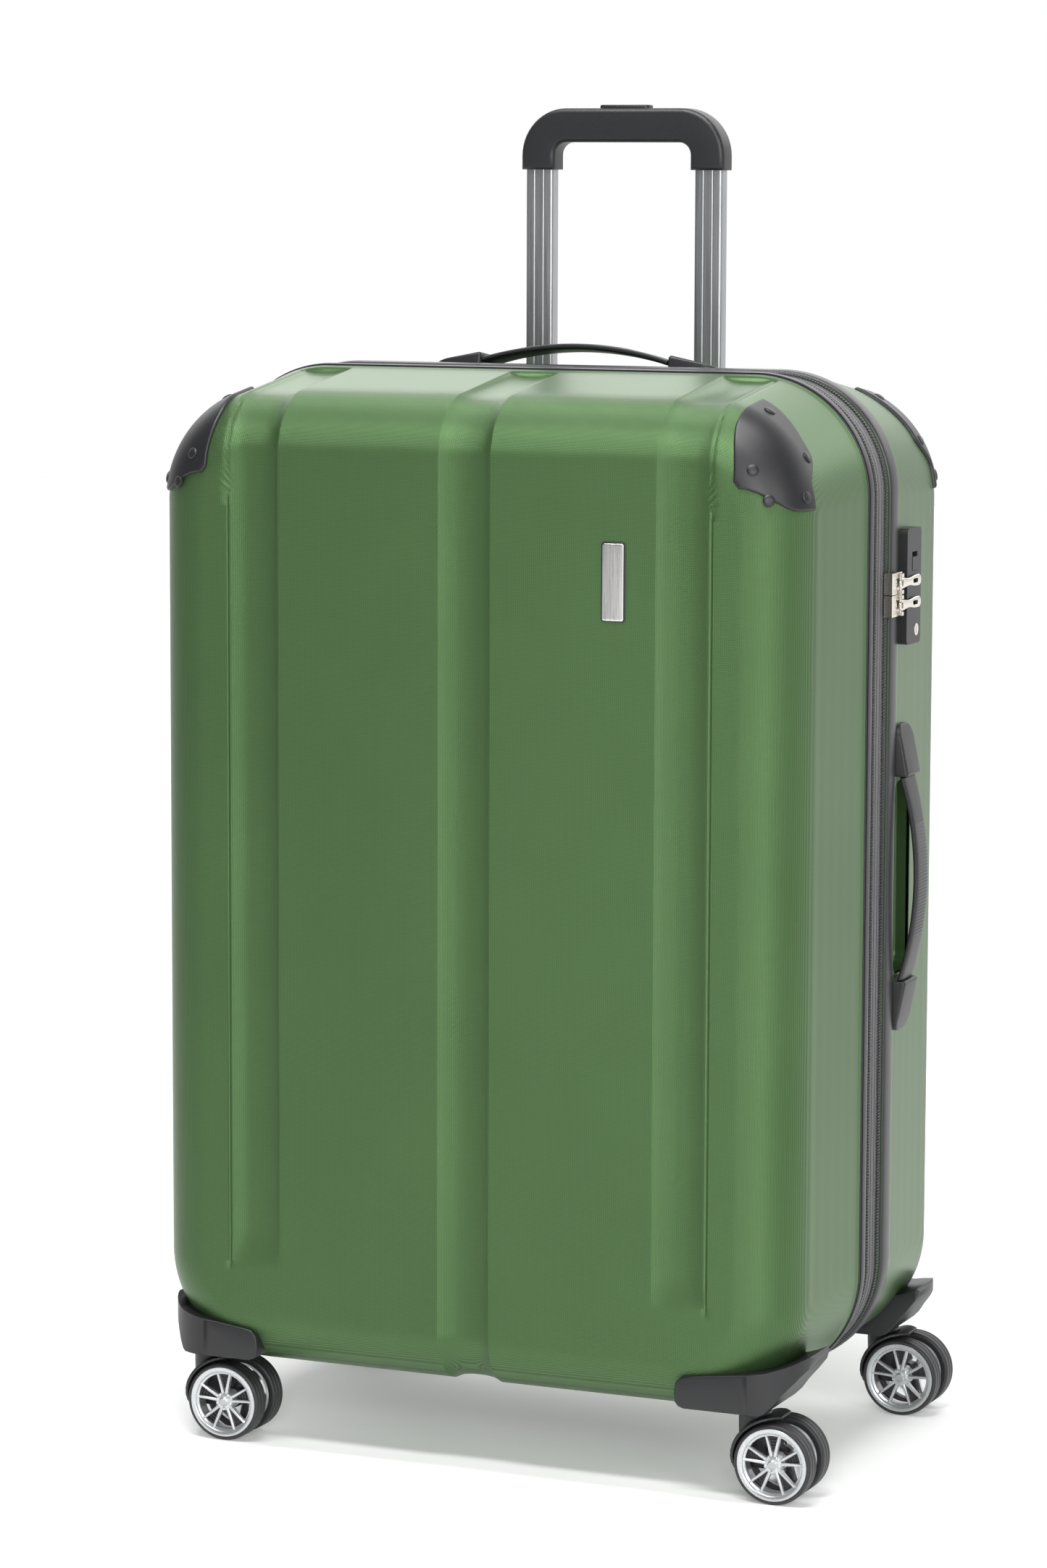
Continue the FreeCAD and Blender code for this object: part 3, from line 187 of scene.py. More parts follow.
def add_rough(material, factor, low, high):
    nodes, links = nodes_of(material)
    span = nodes.new("ShaderNodeMapRange")
    span.inputs["To Min"].default_value = low
    span.inputs["To Max"].default_value = high
    links.new(factor, span.inputs["Value"])
    links.new(span.outputs["Result"], nodes["Principled BSDF"].inputs["Roughness"])


def waves(material, along, pitch):
    """A sine of one coordinate, from -1 to 1, with a pitch in metres."""
    return math_node(material, "SINE", math_node(material, "MULTIPLY", along, 2 * math.pi / pitch))


HATCH_PITCH = 0.00165
DARK_GREEN = (0.027, 0.066, 0.020)
LIGHT_GREEN = (0.104, 0.194, 0.076)


def shell_material():
    """Satin green with a fine diagonal hatch, strong on the faces and faint on the sides."""
    m = new_material("shell_green", (0.112, 0.182, 0.088), 0.32, 0.6, Coat_Weight=0.04,
                     Coat_Roughness=0.3, Specular_IOR_Level=0.35)
    nodes, links = nodes_of(m)
    _, (x, y, z) = place_sockets(m)
    rise = math_node(m, "ADD", z, y)
    one = waves(m, math_node(m, "ADD", x, rise), HATCH_PITCH)
    two = waves(m, math_node(m, "SUBTRACT", x, rise), HATCH_PITCH)
    diamonds = math_node(m, "MULTIPLY_ADD", math_node(m, "MULTIPLY", one, two), 0.5, 0.5)
    reach = nodes.new("ShaderNodeMapRange")
    reach.interpolation_type = "SMOOTHSTEP"
    links.new(math_node(m, "ABSOLUTE", y), reach.inputs["Value"])
    reach.inputs["From Min"].default_value = 0.100
    reach.inputs["From Max"].default_value = 0.132
    reach.inputs["To Min"].default_value = 0.12
    reach.inputs["To Max"].default_value = 1.0
    calm = math_node(m, "MULTIPLY", math_node(m, "SUBTRACT", diamonds, 0.5), reach.outputs["Result"])
    pattern = math_node(m, "ADD", calm, 0.5)
    cloud = noise(m, 9.0, 2.0)
    tone = math_node(m, "MULTIPLY_ADD", math_node(m, "SUBTRACT", cloud, 0.5), 0.16, pattern)
    add_tint(m, tone, DARK_GREEN, LIGHT_GREEN, 0.0, 1.0)
    add_rough(m, pattern, 0.38, 0.29)
    add_bump(m, pattern, 0.00022, 0.8)
    return m


def grained(name, color, rough, grain, depth, metal=0.0, **sockets):
    """A plain moulded finish with a fine grain."""
    m = new_material(name, color, rough, metal, **sockets)
    speckle = noise(m, grain, 4.0)
    add_tint(m, speckle, [c * 0.88 for c in color], [c * 1.12 for c in color])
    add_rough(m, speckle, rough - 0.05, rough + 0.07)
    add_bump(m, speckle, depth, 0.5)
    return m


def brushed(name, color, rough, stretch, metal=1.0, depth=0.00004):
    """Metal with fine lines along one direction."""
    m = new_material(name, color, rough, metal)
    lines = noise(m, 900.0, 2.0, stretch)
    add_tint(m, lines, [c * 0.86 for c in color], [min(1, c * 1.1) for c in color])
    add_rough(m, lines, rough - 0.04, rough + 0.08)
    add_bump(m, lines, depth, 0.6)
    return m


def woven(name, color, pitch, depth, rough=0.85, sheen=0.3):
    """Plain weave: threads over and under in two directions, the same from every side."""
    m = new_material(name, color, rough, Sheen_Weight=sheen)
    _, (x, y, z) = place_sockets(m)
    warp = waves(m, math_node(m, "ADD", x, y), pitch)
    weft = waves(m, math_node(m, "SUBTRACT", z, y), pitch)
    weave = math_node(m, "MULTIPLY_ADD", math_node(m, "MULTIPLY", warp, weft), 0.5, 0.5)
    fuzz = noise(m, 260.0, 3.0)
    blend = math_node(m, "MULTIPLY_ADD", math_node(m, "SUBTRACT", fuzz, 0.5), 0.4, weave)
    add_tint(m, blend, [c * 0.7 for c in color], [c * 1.35 for c in color], 0.1, 0.9)
    add_bump(m, blend, depth, 0.8)
    return m


shell_material()
grained("dark_plastic", (0.0115, 0.0117, 0.0132), 0.42, 1400.0, 0.00008)
grained("hub_plastic", (0.018, 0.018, 0.020), 0.38, 1200.0, 0.00006)
grained("bead_rubber", (0.022, 0.022, 0.025), 0.36, 900.0, 0.00004)
grained("tyre_black", (0.018, 0.018, 0.020), 0.48, 1600.0, 0.00008)
grained("wheel_silver", (0.56, 0.58, 0.59), 0.30, 1100.0, 0.00002, metal=0.75)
grained("zip_nickel", (0.66, 0.63, 0.57), 0.22, 800.0, 0.00002, metal=1.0)
grained("coil_black", (0.035, 0.035, 0.038), 0.32, 900.0, 0.00003)
brushed("tube_grey", (0.40, 0.405, 0.42), 0.38, (1, 1, 0.02))
brushed("badge_silver", (0.90, 0.89, 0.88), 0.26, (1, 1, 0.03))
brushed("zinc_steel", (0.52, 0.52, 0.54), 0.34, (1, 1, 0.05))
woven("tape_cloth", (0.022, 0.022, 0.025), 0.0011, 0.00012)
woven("lining_cloth", (0.105, 0.105, 0.118), 0.0016, 0.00015)
woven("strap_web", (0.040, 0.040, 0.045), 0.0022, 0.0003)

# ---------------------------------------------------------------- building pieces


def mesh_piece(name, bm, material, body, replaces=(), crease=32):
    """Turns a bmesh in case millimetres into a piece that rides on a body."""
    bmesh.ops.remove_doubles(bm, verts=bm.verts, dist=0.002)
    bmesh.ops.recalc_face_normals(bm, faces=bm.faces)
    for vert in bm.verts:
        vert.co = Vector(shift(vert.co))
    mesh = bpy.data.meshes.new(name)
    bm.to_mesh(mesh)
    bm.free()
    return dress(bpy.data.objects.new(name, mesh), material, body, replaces, crease)


def dress(obj, material, body, replaces=(), crease=32):
    mesh = obj.data
    mesh.materials.clear()
    mesh.materials.append(materials[material])
    mesh.polygons.foreach_set("use_smooth", [True] * len(mesh.polygons))
    mesh.set_sharp_from_angle(angle=math.radians(crease))
    bpy.context.scene.collection.objects.link(obj)
    if body:
        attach(obj, body)
    if replaces:
        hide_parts(*([replaces] if isinstance(replaces, str) else replaces))
    return obj


def bm_from(verts, faces):
    bm = bmesh.new()
    made = [bm.verts.new(v) for v in verts]
    for face in faces:
        corners = [made[i] for i in face]
        if len(set(corners)) > 2:
            bm.faces.new(corners)
    return bm


def merge(*parts):
    """One bmesh of several."""
    whole = bmesh.new()
    for part in parts:
        temp = bpy.data.meshes.new("temp")
        part.to_mesh(temp)
        part.free()
        whole.from_mesh(temp)
        bpy.data.meshes.remove(temp)
    return whole


def moved(bm, matrix):
    bmesh.ops.transform(bm, matrix=matrix, verts=bm.verts)
    return bm


def grid_faces(rows, columns, closed=False):
    """Quads over a grid of points stored row by row; closed joins the last column to the first."""
    faces = []
    for r in range(rows - 1):
        for c in range(columns if closed else columns - 1):
            d = (c + 1) % columns
            faces.append((r * columns + c, r * columns + d, (r + 1) * columns + d, (r + 1) * columns + c))
    return faces


def closed_layers(verts, rows, columns):
    """Two layers of a grid of points joined round their edges."""
    total = rows * columns
    faces = grid_faces(rows, columns)
    faces += [tuple(total + i for i in reversed(face)) for face in faces]
    edge = (list(range(columns)) + [r * columns + columns - 1 for r in range(1, rows)]
            + [(rows - 1) * columns + c for c in range(columns - 2, -1, -1)]
            + [r * columns for r in range(rows - 2, 0, -1)])
    faces += [(a, b, total + b, total + a) for a, b in zip(edge, edge[1:] + edge[:1])]
    return bm_from(verts, faces)


def arc(cx, cy, radius, start, end, steps):
    """Points round an arc, angles in degrees."""
    points = []
    for step in range(steps + 1):
        angle = math.radians(mix(start, end, step / steps))
        points.append((cx + radius * math.cos(angle), cy + radius * math.sin(angle)))
    return points


def rounded_outline(x0, x1, y0, y1, radius, steps=6):
    """A rounded rectangle, counter-clockwise. radius is one number or four, from the upper right."""
    r = [radius] * 4 if isinstance(radius, (int, float)) else radius
    return (arc(x1 - r[0], y1 - r[0], r[0], 0, 90, steps) + arc(x0 + r[1], y1 - r[1], r[1], 90, 180, steps)
            + arc(x0 + r[2], y0 + r[2], r[2], 180, 270, steps)
            + arc(x1 - r[3], y0 + r[3], r[3], 270, 360, steps))


def inset_outline(points, distance):
    """The outline moved inwards, each point along the mean of its two edges' normals."""
    moved_points = []
    count = len(points)
    for i, (x, y) in enumerate(points):
        back = j = i
        while True:
            j = (j - 1) % count
            if math.dist(points[j], points[i]) > 1e-6:
                back = j
                break
        j = i
        while True:
            j = (j + 1) % count
            if math.dist(points[j], points[i]) > 1e-6:
                ahead = j
                break
        ax, ay = x - points[back][0], y - points[back][1]
        bx, by = points[ahead][0] - x, points[ahead][1] - y
        la, lb = math.hypot(ax, ay), math.hypot(bx, by)
        nx, ny = -(ay / la + by / lb), ax / la + bx / lb
        size = math.hypot(nx, ny) or 1.0
        nx, ny = nx / size, ny / size
        square = max(0.4, nx * -(ay / la) + ny * (ax / la))
        moved_points.append((x + nx * distance / square, y + ny * distance / square))
    return moved_points


AXES = {
    "x": Matrix(((0, 0, 1), (1, 0, 0), (0, 1, 0))),
    "y": Matrix(((1, 0, 0), (0, 0, 1), (0, 1, 0))),
    "z": Matrix(((1, 0, 0), (0, 1, 0), (0, 0, 1))),
}


def prism(outline, axis, low, high, bevel=0.0, steps=3, low_bevel=None):
    """A plate of an outline between two levels of an axis, its two edges rounded.

    The outline's coordinates are (y, z), (x, z) or (x, y) for the axes x, y and z.
    """
    low_bevel = bevel if low_bevel is None else low_bevel
    turns = [math.radians(90 * step / steps) for step in range(steps + 1)]
    levels = [(low, 0.0)]
    if low_bevel:
        levels = [(low + low_bevel * (1 - math.sin(turn)), low_bevel * (1 - math.cos(turn)))
                  for turn in reversed(turns)]
    if bevel:
        levels += [(high - bevel * (1 - math.sin(turn)), bevel * (1 - math.cos(turn))) for turn in turns]
    else:
        levels.append((high, 0.0))
    verts = []
    for level, inset in levels:
        ring = inset_outline(outline, inset) if inset > 1e-9 else outline
        verts += [AXES[axis] @ Vector((u, v, level)) for u, v in ring]
    count = len(outline)
    faces = grid_faces(len(levels), count, closed=True)
    bm = bm_from(verts, faces)
    bm.verts.ensure_lookup_table()
    last = (len(levels) - 1) * count
    for corners in ([bm.verts[i] for i in range(count)], [bm.verts[last + i] for i in range(count)]):
        bm.faces.new(corners)
    bmesh.ops.remove_doubles(bm, verts=bm.verts, dist=0.001)
    caps = [face for face in bm.faces if len(face.verts) > 4]
    bmesh.ops.triangulate(bm, faces=caps)
    bmesh.ops.recalc_face_normals(bm, faces=bm.faces)
    return bm


def block(low, high, bevel=0.4, corner=None, axis="z", steps=2):
    """A box with its four edges along an axis rounded by corner and its two faces' edges by bevel."""
    corner = bevel if corner is None else corner
    pairs = {"x": (1, 2, 0), "y": (0, 2, 1), "z": (0, 1, 2)}[axis]
    u, v, w = pairs
    outline = rounded_outline(low[u], high[u], low[v], high[v], corner, 4)
    return prism(outline, axis, low[w], high[w], bevel, steps)


def lathe(profile, segments=64, axis="z"):
    """Spins (radius, level) points about an axis. A profile that starts and ends off the axis closes
    on itself."""
    verts = []
    for radius, level in profile:
        for step in range(segments):
            angle = 2 * math.pi * step / segments
            verts.append(AXES[axis] @ Vector((radius * math.cos(angle), radius * math.sin(angle), level)))
    faces = grid_faces(len(profile), segments, closed=True)
    bm = bm_from(verts, faces)
    if profile[0][0] > 1e-6:
        bm.verts.ensure_lookup_table()
        last = (len(profile) - 1) * segments
        for step in range(segments):
            d = (step + 1) % segments
            bm.faces.new([bm.verts[last + step], bm.verts[last + d], bm.verts[d], bm.verts[step]])
    bmesh.ops.remove_doubles(bm, verts=bm.verts, dist=0.001)
    bmesh.ops.recalc_face_normals(bm, faces=bm.faces)
    return bm


def modified(bm, *settings):
    """The bmesh after modifiers, each given as (type, {property: value})."""
    mesh = bpy.data.meshes.new("temp")
    bm.to_mesh(mesh)
    bm.free()
    obj = bpy.data.objects.new("temp", mesh)
    bpy.context.scene.collection.objects.link(obj)
    for kind, values in settings:
        modifier = obj.modifiers.new(kind, kind)
        for key, value in values.items():
            setattr(modifier, key, value)
    graph = bpy.context.evaluated_depsgraph_get()
    result = bpy.data.meshes.new_from_object(obj.evaluated_get(graph))
    made = bmesh.new()
    made.from_mesh(result)
    bpy.data.objects.remove(obj)
    bpy.data.meshes.remove(mesh)
    bpy.data.meshes.remove(result)
    return made


def melted(bm, voxel, smooth):
    """Overlapping solids fused into one moulding with softened edges."""
    return modified(bm, ("REMESH", {"mode": "VOXEL", "voxel_size": voxel}),
                    ("SMOOTH", {"iterations": smooth, "factor": 0.6}))


def boolean(bm, other, operation):
    """bm joined with another solid by an exact boolean, which uses the other one up."""
    tool_mesh = bpy.data.meshes.new("tool")
    other.to_mesh(tool_mesh)
    other.free()
    tool = bpy.data.objects.new("tool", tool_mesh)
    bpy.context.scene.collection.objects.link(tool)
    result = modified(bm, ("BOOLEAN", {"operation": operation, "solver": "EXACT", "object": tool}))
    bpy.data.objects.remove(tool)
    bpy.data.meshes.remove(tool_mesh)
    return result


def without(bm, cutter):
    """bm less cutter."""
    return boolean(bm, cutter, "DIFFERENCE")


def common(bm, other):
    """What two solids share."""
    return boolean(bm, other, "INTERSECT")

# ---------------------------------------------------------------- the shells' surface

CHANNEL_EDGES = ((-178.6, -139.7), (-19.0, 19.0), (139.7, 178.6))
CHANNEL_DEEP = 3.6
GROOVE_X = 178.6
GROOVE_HALF = 1.5
GROOVE_DEEP = 1.5


def section(depth, grow=0.0, inset=0.0):
    """Half width, underside, top and corner radius of a shell at a depth."""
    part = max(0.0, (depth - STRAIGHT_END) / (FACE - STRAIGHT_END))
    return (HALF + grow - SIDE_TAPER * part - inset,
            BOTTOM - grow + BOTTOM_TAPER * part + inset,
            TOP + grow - TOP_TAPER * part - inset,
            max(0.0, CORNER + grow - CORNER_TAPER * part - inset))


def recess(x, z, depth):
    """How far the moulded channels go in at a place on the face, the top or the rounded edge."""
    if z < 90 and abs(x) > 60:
        return 0.0
    # Towards the rubber bead every channel ends in a short slope.
    slope = max(0.0, (depth - STRAIGHT_END - 5.5) * 0.75)
    deep = 0.0
    for left, right in CHANNEL_EDGES:
        if left < x < right:
            t = (2 * x - left - right) / (right - left)
            shape = 1 - abs(t) ** 3.2
            ends = 1.0 if abs(left + right) < 1 else ramp(126, 152, z)
            deep = CHANNEL_DEEP * shape * ends
    deep = min(deep, slope)
    off = abs(abs(x) - GROOVE_X)
    if off < GROOVE_HALF:
        groove = GROOVE_DEEP * (1 - (off / GROOVE_HALF) ** 2) * ramp(122, 134, z)
        deep = max(deep, min(groove, slope))
    return deep


def rounding(angle, grow=0.0):
    """Depth and inset on the rounded edge between the sides and the face."""
    bend = FACE_ROUND + grow
    a = math.radians(angle)
    return FACE + grow - bend * (1 - math.sin(a)), bend * (1 - math.cos(a))


EDGE_FAN = (-1.5, -0.7, 0.0, 0.7, 1.5, 4.0)


def column_places():
    """Places across the top, as shares of the straight stretch, close together at the channels' edges."""
    reach = HALF - CORNER
    places = {-1.0, 1.0}
    for step in range(-26, 27):
        places.add(step / 26)
    for edge in (-139.7, -19.0, 19.0, 139.7):
        for off in EDGE_FAN:
            places.add((edge + off) / reach)
            places.add((edge - off) / reach)
    ordered = sorted(p for p in places if abs(p) <= 1)
    kept = [ordered[0]]
    for place in ordered[1:]:
        if (place - kept[-1]) * reach > 0.55:
            kept.append(place)
    kept[-1] = 1.0
    return kept


def row_places():
    """Places up a side, as shares of its straight stretch from the lower end."""
    fine = [step / 60 for step in range(6)]
    coarse = [step / 24 for step in range(3, 25)]
    return fine + coarse


COLUMNS = column_places()
ROWS = row_places()
UPPER_STEPS = 72
LOWER_STEPS = 22


def perimeter(half, bottom, top, radius):
    """Points round the case with their outward directions, from the upper left along the top."""
    x1, z0, z1 = half - radius, bottom + radius, top - radius
    points = [(x1 * s, top, 0.0, 1.0) for s in COLUMNS]

    def corner(cx, cz, start, end, steps):
        for step in range(1, steps):
            a = math.radians(mix(start, end, step / steps))
            points.append((cx + radius * math.cos(a), cz + radius * math.sin(a), math.cos(a), math.sin(a)))

    corner(x1, z1, 90, 0, UPPER_STEPS)
    points.extend((half, mix(z0, z1, s), 1.0, 0.0) for s in reversed(ROWS))
    corner(x1, z0, 0, -90, LOWER_STEPS)
    points.extend((x1 * s, bottom, 0.0, -1.0) for s in reversed(COLUMNS))
    corner(-x1, z0, -90, -180, LOWER_STEPS)
    points.extend((-half, mix(z0, z1, s), -1.0, 0.0) for s in ROWS)
    corner(-x1, z1, 180, 90, UPPER_STEPS)
    return points


SIDE_DEPTHS = (26, 30, 31.2, 32.4, 34, 35.5, 37, 38.5, 40, 42, 45, 50, 58, 68, 80, 92, 104, 112)
FACE_INSETS = (40, 43, 47, 51, 54.5, 56.9, 57.6, 58.4, 59.2, 59.9, 62, 65, 68, 71, 73.5, 75)
LIP = 0.7


def shell_rings(rim):
    """Depth, inset and lean of each ring of the surface, from the rim to the flat middle of the face."""
    rings = [(rim, 0.0, 0.0)] + [(float(d), 0.0, 0.0) for d in SIDE_DEPTHS]
    rings += [(*rounding(angle), float(angle)) for angle in range(0, 91, 6)]
    rings += [(FACE, float(inset), 90.0) for inset in FACE_INSETS]
    return rings


def shell_surface(half_name, grow=0.0, deepen=1.0):
    """Points of a shell's surface and its faces; grow offsets it along its own directions."""
    side, rim = SIDE[half_name], RIM[half_name]
    verts = []
    rings = shell_rings(rim)
    for depth, inset, lean in rings:
        c, s = math.cos(math.radians(lean)), math.sin(math.radians(lean))
        for x, z, nx, nz in perimeter(*section(depth, 0.0, inset)):
            out = grow - deepen * recess(x, z, depth)
            if STRAIGHT_END < depth < 36 and lean == 0:
                out += LIP * (1 - ramp(31.5, 36, depth)) * deepen
            verts.append((x + nx * c * out, side * (depth + s * out), z + nz * c * out))
    count = len(perimeter(*section(rim)))
    faces = grid_faces(len(rings), count, closed=True)
    half, bottom, top, radius = section(FACE, 0.0, FACE_INSETS[-1])
    start = len(verts)
    for share in ROWS:
        z = mix(bottom + radius, top - radius, share)
        for s in COLUMNS:
            x = (half - radius) * s
            verts.append((x, side * (FACE + grow - deepen * recess(x, z, FACE)), z))
    for face in grid_faces(len(ROWS), len(COLUMNS)):
        faces.append(tuple(start + i for i in face))
    return verts, faces, count


def shell_solid(half_name):
    """The moulded shell: outside, inside and the edge between them."""
    outer, faces, count = shell_surface(half_name)
    inner, _, _ = shell_surface(half_name, -WALL)
    total = len(outer)
    faces = faces + [tuple(total + i for i in reversed(face)) for face in faces]
    for i in range(count):
        j = (i + 1) % count
        faces.append((i, j, total + j, total + i))
    bm = bm_from(outer + inner, faces)
    bmesh.ops.remove_doubles(bm, verts=bm.verts, dist=0.02)
    bmesh.ops.recalc_face_normals(bm, faces=bm.faces)
    return bm


mesh_piece("front_shell_moulding", shell_solid("front"), "shell_green", "front_half",
           "front_shell", crease=50)

# Finger wells behind the two carry handles, and the holes for the trolley cup and the lock.
HANDLE_MID = sum(corner[2] for corner in case_box("side_handle_grip")) / 2
WELL_FRONT, WELL_BACK, WELL_HALF = 31.4, 72.0, 68.0
WELL_DEEP = {"side": 15.0, "top": 20.0}
WELL_CORNER = 12.0
CUP_LOW, CUP_HIGH = case_box("trolley_cup")
LOCK_LOW, LOCK_HIGH = case_box("lock_housing")


def side_x(y):
    return section(abs(y))[0]


def top_z(y):
    return section(abs(y))[2]


def well(kind, grow=0.0):
    """A finger well's outline."""
    if kind == "side":
        return rounded_outline(WELL_FRONT - grow, WELL_BACK + grow, HANDLE_MID - WELL_HALF - grow,
                               HANDLE_MID + WELL_HALF + grow, WELL_CORNER + grow, 8)
    return rounded_outline(-WELL_HALF - grow, WELL_HALF + grow, WELL_FRONT - grow, WELL_BACK + grow,
                           WELL_CORNER + grow, 8)


def well_pan(kind):
    """The pan behind a finger well, its rim just under the shell's surface."""
    axis = "x" if kind == "side" else "z"
    surface = side_x if kind == "side" else top_z
    depth_index = 0 if kind == "side" else 1
    floor = (HALF if kind == "side" else TOP) - WELL_DEEP[kind]
    fillet = 4.0
    verts = []
    layers = [(well(kind, WALL), floor - WALL, False), (well(kind, WALL), 0.6, True), (well(kind), 0.6, True)]
    for step in range(5):
        a = math.radians(90 * step / 4)
        inset = inset_outline(well(kind), fillet * (1 - math.cos(a)))
        layers.append((inset, floor + fillet * (1 - math.sin(a)), False))
    for outline, level, follows in layers:
        for u, v in outline:
            height = surface((u, v)[depth_index]) - level if follows else level
            verts.append(AXES[axis] @ Vector((u, v, height)))
    count = len(well(kind))
    faces = grid_faces(len(layers), count, closed=True)
    faces.append(tuple(range(count)))
    last = (len(layers) - 1) * count
    faces.append(tuple(last + i for i in range(count)))
    bm = bm_from(verts, faces)
    bmesh.ops.triangulate(bm, faces=[f for f in bm.faces if len(f.verts) > 4])
    bmesh.ops.recalc_face_normals(bm, faces=bm.faces)
    return bm


CUP_FIT = 0.3
LOCK_BODY_EDGE = 4.2
LOCK_BODY_RIM = 3.2
back = shell_solid("back")
holes = [
    prism(well("side"), "x", HALF - WELL_DEEP["side"], HALF + 12),
    prism(well("top"), "z", TOP - WELL_DEEP["top"], TOP + 12),
    prism(rounded_outline(CUP_LOW[0] - CUP_FIT, CUP_HIGH[0] + CUP_FIT, CUP_LOW[1] - CUP_FIT,
                          CUP_HIGH[1] + CUP_FIT, 1.0, 3), "z", 690, TOP + 12),
    prism(rounded_outline(LOCK_LOW[1] + LOCK_BODY_RIM, LOCK_HIGH[1] - LOCK_BODY_RIM,
                          LOCK_LOW[2] + LOCK_BODY_EDGE, LOCK_HIGH[2] - LOCK_BODY_EDGE, 1.0, 3),
          "x", HALF - 12, HALF + 12),
]
for hole in holes:
    back = without(back, hole)
mesh_piece("back_shell_moulding", back, "shell_green", "back_half", "back_shell", crease=50)
mesh_piece("side_finger_well", well_pan("side"), "shell_green", "back_half")
mesh_piece("top_finger_well", well_pan("top"), "shell_green", "back_half")

# ---------------------------------------------------------------- bands round the case


def band_ring(points, low_steps=24, up_steps=40):
    """A closed band with a section given as (depth, out) points, round the rims."""
    path = []
    half, bottom, top, radius = section(0)
    x1, z0, z1 = half - radius, bottom + radius, top - radius
    for cx, cz, start in ((x1, z1, 0), (-x1, z1, 90), (-x1, z0, 180), (x1, z0, 270)):
        steps = up_steps if cz == z1 else low_steps
        for step in range(steps + 1):
            a = math.radians(start + 90 * step / steps)
            path.append((cx, cz, radius, math.cos(a), math.sin(a)))
    verts = []
    for y, out in points:
        for cx, cz, r, c, s in path:
            verts.append((cx + (r + out) * c, y, cz + (r + out) * s))
    count = len(path)
    faces = grid_faces(len(points), count, closed=True)
    last = (len(points) - 1) * count
    for i in range(count):
        j = (i + 1) % count
        faces.append((last + i, last + j, j, i))
    return bm_from(verts, faces)


def bead_section(side, inner, outer, proud):
    """A rubber bead: a soft roll with a thin lip against the shell."""
    mid = (inner + outer) / 2
    half_wide = (outer - inner) / 2
    points = [(side * inner, -0.4)]
    points += [(side * (mid - half_wide * 0.96 * math.cos(math.radians(a))),
                0.2 + (proud - 0.2) * math.sin(math.radians(a)) ** 0.6) for a in range(8, 149, 10)]
    points += [(side * (outer - 1.6), 1.0), (side * (outer - 1.2), 0.75), (side * (outer - 0.8), 1.05),
               (side * (outer - 0.2), 0.8), (side * outer, 0.1), (side * outer, -0.4)]
    return points


BEAD_PROUD = case_box("front_gasket")[1][0] - HALF
for half_name in ("front", "back"):
    low, high = case_box(f"{half_name}_gasket")
    inner, outer = sorted((abs(low[1]), abs(high[1])))
    mesh_piece(f"{half_name}_rubber_bead", band_ring(bead_section(SIDE[half_name], inner, outer, BEAD_PROUD)),
               "bead_rubber", f"{half_name}_half", f"{half_name}_gasket")

TAPE_OUT = -0.6
TAPE_THICK = 2.2
COIL_PITCH = 2.15
COIL_HIGH = 1.15
MAIN_ZIP, EXPANSION_ZIP, ZIP_GAP = 7.0, -13.7, 0.3


def tape_section(low, high, ribs):
    """A zip tape: a flat band with a few raised cords woven along it."""
    points = [(low, TAPE_OUT - TAPE_THICK), (low, TAPE_OUT - 0.3)]
    for place in ribs:
        points += [(place - 0.45, TAPE_OUT), (place - 0.2, TAPE_OUT + 0.28), (place + 0.2, TAPE_OUT + 0.28),
                   (place + 0.45, TAPE_OUT)]
    points += [(high, TAPE_OUT - 0.3), (high, TAPE_OUT - TAPE_THICK)]
    return points


def rim_track(out):
    """Place, direction along and direction out at a distance round the rim, and the whole length."""
    half, bottom, top, radius = section(0)
    x1, z0, z1 = half - radius, bottom + radius, top - radius
    r = radius + out
    quarter = math.pi / 2 * r
    legs = [(2 * x1, "line", (x1, top + out), (-1, 0)), (quarter, "turn", (-x1, z1), 90),
            (z1 - z0, "line", (-half - out, z1), (0, -1)), (quarter, "turn", (-x1, z0), 180),
            (2 * x1, "line", (-x1, bottom - out), (1, 0)), (quarter, "turn", (x1, z0), 270),
            (z1 - z0, "line", (half + out, z0), (0, 1)), (quarter, "turn", (x1, z1), 0)]
    total = sum(leg[0] for leg in legs)

    def at(distance):
        distance %= total
        for length, kind, start, way in legs:
            if distance <= length:
                if kind == "line":
                    place = (start[0] + way[0] * distance, start[1] + way[1] * distance)
                    return place, way, (way[1], -way[0])
                a = math.radians(way) + distance / r
                return ((start[0] + r * math.cos(a), start[1] + r * math.sin(a)), (-math.sin(a), math.cos(a)),
                        (math.cos(a), math.sin(a)))
            distance -= length
        return at(0)

    return at, total


def coil_row(zip_line, side, reach):
    """A row of coil teeth along one edge of a zip."""
    at, total = rim_track(TAPE_OUT)
    count = round(total / COIL_PITCH)
    step = total / count
    near = zip_line + side * ZIP_GAP
    far = zip_line + side * reach
    verts = []
    faces = []
    profile = ((-0.74, -0.3), (-0.66, 0.55), (-0.3, 1.0), (0.3, 1.0), (0.66, 0.55), (0.74, -0.3))
    for tooth in range(count):
        (px, pz), (tx, tz), (nx, nz) = at(tooth * step)
        start = len(verts)
        for y, wide in ((near, 0.75), (mix(near, far, 0.3), 1.0), (far, 0.8)):
            for along, up in profile:
                a, u = along * wide, max(-0.3, up * COIL_HIGH * (0.8 + 0.2 * wide))
                verts.append((px + tx * a + nx * u, y, pz + tz * a + nz * u))
        for face in grid_faces(3, 6, closed=True):
            faces.append(tuple(start + i for i in face))
        faces.append(tuple(start + i for i in range(6)))
        faces.append(tuple(start + 12 + i for i in range(6)))
    return bm_from(verts, faces)


